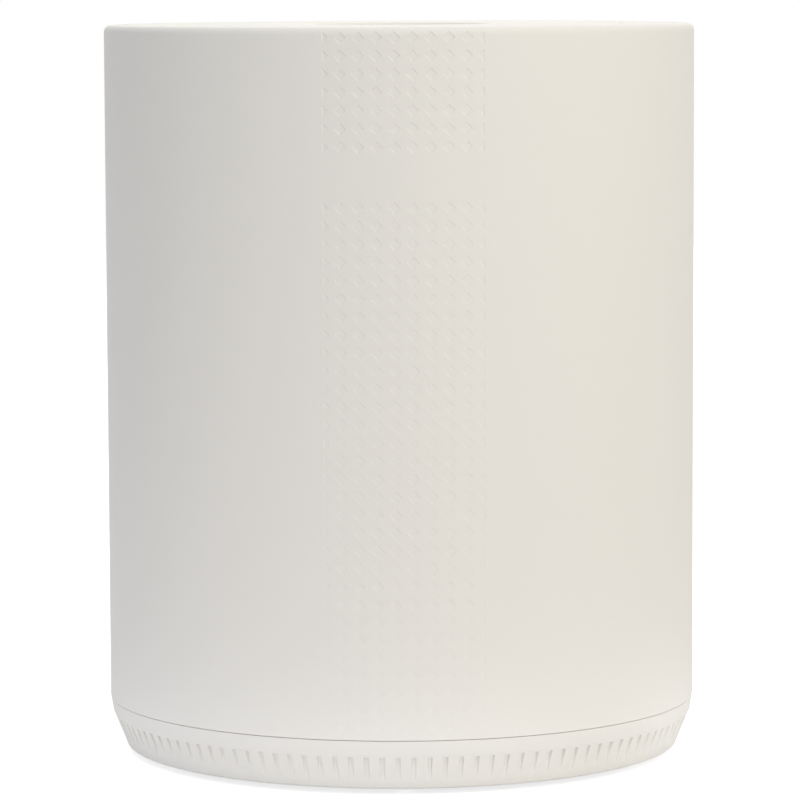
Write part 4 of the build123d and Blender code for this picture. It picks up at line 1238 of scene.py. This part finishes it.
class COMPOSTER_OT_power(bpy.types.Operator):
    """Finish the power inlet, its pins and the main board"""

    bl_idname = "composter.power"
    bl_label = "Power"

    def execute(self, context):
        dress(power_inlet=0.5, inlet_pins=0.3, main_board=0.3)
        return {"FINISHED"}


# ---- the stage and the panel
def seen_plainly(tree):
    """One where the eye, a mirror or glass looks straight at the surface."""
    path = tree.nodes.new("ShaderNodeLightPath").outputs
    either = math(tree, "MAXIMUM", path["Is Camera Ray"], path["Is Glossy Ray"])
    return math(tree, "MAXIMUM", either, path["Is Transmission Ray"])


def clear_tree(owner, *kinds):
    """Empty the shader tree of a material or world, and give it new nodes."""
    owner.use_nodes = True
    tree = owner.node_tree
    tree.nodes.clear()
    return tree, *(tree.nodes.new("ShaderNode" + kind) for kind in kinds)


def make_floor():
    """A pale floor that keeps the shadow and glows only for the eye."""
    floor = primitive(
        "floor", bpy.ops.mesh.primitive_circle_add,
        vertices=FLOOR_FACES, radius=FLOOR_RADIUS, fill_type="NGON",
    )
    material = bpy.data.materials.new("floor")
    tree, matt, glow, both, out = clear_tree(
        material, "BsdfDiffuse", "Emission", "AddShader", "OutputMaterial"
    )
    matt.inputs["Color"].default_value = (FLOOR_TONE, FLOOR_TONE, FLOOR_TONE, 1)
    away = math(tree, "SUBTRACT", from_axis(tree, split_place(tree)), DRUM_RADIUS)
    rising = math(tree, "MULTIPLY", away, GLOW_RISE, clamp=True)
    level = scaled(tree, rising, GLOW_FAR - GLOW_NEAR, GLOW_NEAR)
    feed(tree, math(tree, "MULTIPLY", level, seen_plainly(tree)), glow.inputs["Strength"])
    tree.links.new(matt.outputs[0], both.inputs[0])
    tree.links.new(glow.outputs[0], both.inputs[1])
    tree.links.new(both.outputs[0], out.inputs["Surface"])
    floor.data.materials.append(material)


def make_world(scene):
    """A soft pale sky that the eye sees as plain white."""
    scene.world = bpy.data.worlds.new("Studio")
    tree, soft, white, choose, out = clear_tree(
        scene.world, "Background", "Background", "MixShader", "OutputWorld"
    )
    soft.inputs["Color"].default_value = (*SKY_TINT, 1)
    soft.inputs["Strength"].default_value = SKY_LEVEL
    white.inputs["Color"].default_value = (1, 1, 1, 1)
    white.inputs["Strength"].default_value = 1
    tree.links.new(seen_plainly(tree), choose.inputs[0])
    tree.links.new(soft.outputs[0], choose.inputs[1])
    tree.links.new(white.outputs[0], choose.inputs[2])
    tree.links.new(choose.outputs[0], out.inputs["Surface"])


def make_lamp(scene, name, place, target, width, height, power, tint):
    """A soft rectangular lamp that faces a target."""
    data = bpy.data.lights.new(name, "AREA")
    data.shape = "RECTANGLE"
    data.size = width
    data.size_y = height
    data.energy = power
    data.color = tint
    lamp = bpy.data.objects.new(name, data)
    scene.collection.objects.link(lamp)
    lamp.visible_camera = False
    lamp.location = place
    lamp.rotation_euler = (Vector(target) - Vector(place)).to_track_quat("-Z", "Y").to_euler()


def make_camera(scene):
    """The camera in front, a little above the top and turned a little about its own axis."""
    data = bpy.data.cameras.new("Camera")
    data.lens = CAMERA_LENS
    data.shift_x = CAMERA_SHIFT
    data.sensor_width = SENSOR_WIDTH
    data.clip_start = CLIP_FROM
    data.clip_end = CLIP_TO
    camera = bpy.data.objects.new("Camera", data)
    scene.collection.objects.link(camera)
    camera.location = CAMERA_PLACE
    across = Vector((-CAMERA_PLACE[0], -CAMERA_PLACE[1], 0)).normalized()
    gaze = across * cos(CAMERA_PITCH) - Vector((0, 0, sin(CAMERA_PITCH)))
    level = gaze.to_track_quat("-Z", "Y")
    camera.rotation_mode = "QUATERNION"
    camera.rotation_quaternion = level @ Quaternion((0, 0, 1), CAMERA_ROLL)
    scene.camera = camera


class COMPOSTER_OT_stage(bpy.types.Operator):
    """Make the white floor, the soft lamps, the world and the camera"""

    bl_idname = "composter.stage"
    bl_label = "Floor, lamps and camera"

    def execute(self, context):
        scene = context.scene
        scene.view_settings.view_transform = "Standard"
        make_floor()
        make_world(scene)
        for lamp in LAMPS:
            make_lamp(scene, *lamp)
        middle = (0, 0, SKIRT_LAMP_HIGH)
        for degrees_round, power in SKIRT_LAMPS:
            across = SKIRT_LAMP_ORBIT * sin(radians(degrees_round))
            ahead = -SKIRT_LAMP_ORBIT * cos(radians(degrees_round))
            place = (across, ahead, SKIRT_LAMP_HIGH)
            look = (*SKIRT_LAMP_SIZE, power, SKIRT_LAMP_TINT)
            make_lamp(scene, "skirt_lamp", place, middle, *look)
        make_camera(scene)
        return {"FINISHED"}


class COMPOSTER_PT_panel(bpy.types.Panel):
    """The steps that model the composter"""

    bl_idname = "COMPOSTER_PT_panel"
    bl_label = "Composter"
    bl_space_type = "VIEW_3D"
    bl_region_type = "UI"
    bl_category = "Composter"

    def draw(self, context):
        for group in (sizes(), colours()):
            box = self.layout.box()
            for name in group.__annotations__:
                box.prop(group, name)
        for step_class in STEPS:
            self.layout.operator(step_class.bl_idname)


STEPS = (
    COMPOSTER_OT_drum,
    COMPOSTER_OT_skirt,
    COMPOSTER_OT_underside,
    COMPOSTER_OT_deck,
    COMPOSTER_OT_lid,
    COMPOSTER_OT_bucket,
    COMPOSTER_OT_grinder,
    COMPOSTER_OT_chamber,
    COMPOSTER_OT_drive,
    COMPOSTER_OT_air_path,
    COMPOSTER_OT_power,
    COMPOSTER_OT_stage,
)
CLASSES = (ComposterSizes, ComposterColours, *STEPS, COMPOSTER_PT_panel)


def register():
    for item in CLASSES:
        bpy.utils.register_class(item)
    bpy.types.Scene.composter_sizes = bpy.props.PointerProperty(type=ComposterSizes)
    bpy.types.Scene.composter_colours = bpy.props.PointerProperty(type=ComposterColours)


def unregister():
    del bpy.types.Scene.composter_colours
    del bpy.types.Scene.composter_sizes
    for item in reversed(CLASSES):
        bpy.utils.unregister_class(item)


def main():
    """Add the steps to the sidebar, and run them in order."""
    register()
    for step_class in STEPS:
        group, name = step_class.bl_idname.split(".")
        getattr(getattr(bpy.ops, group), name)()


if __name__ == "__main__":
    main()
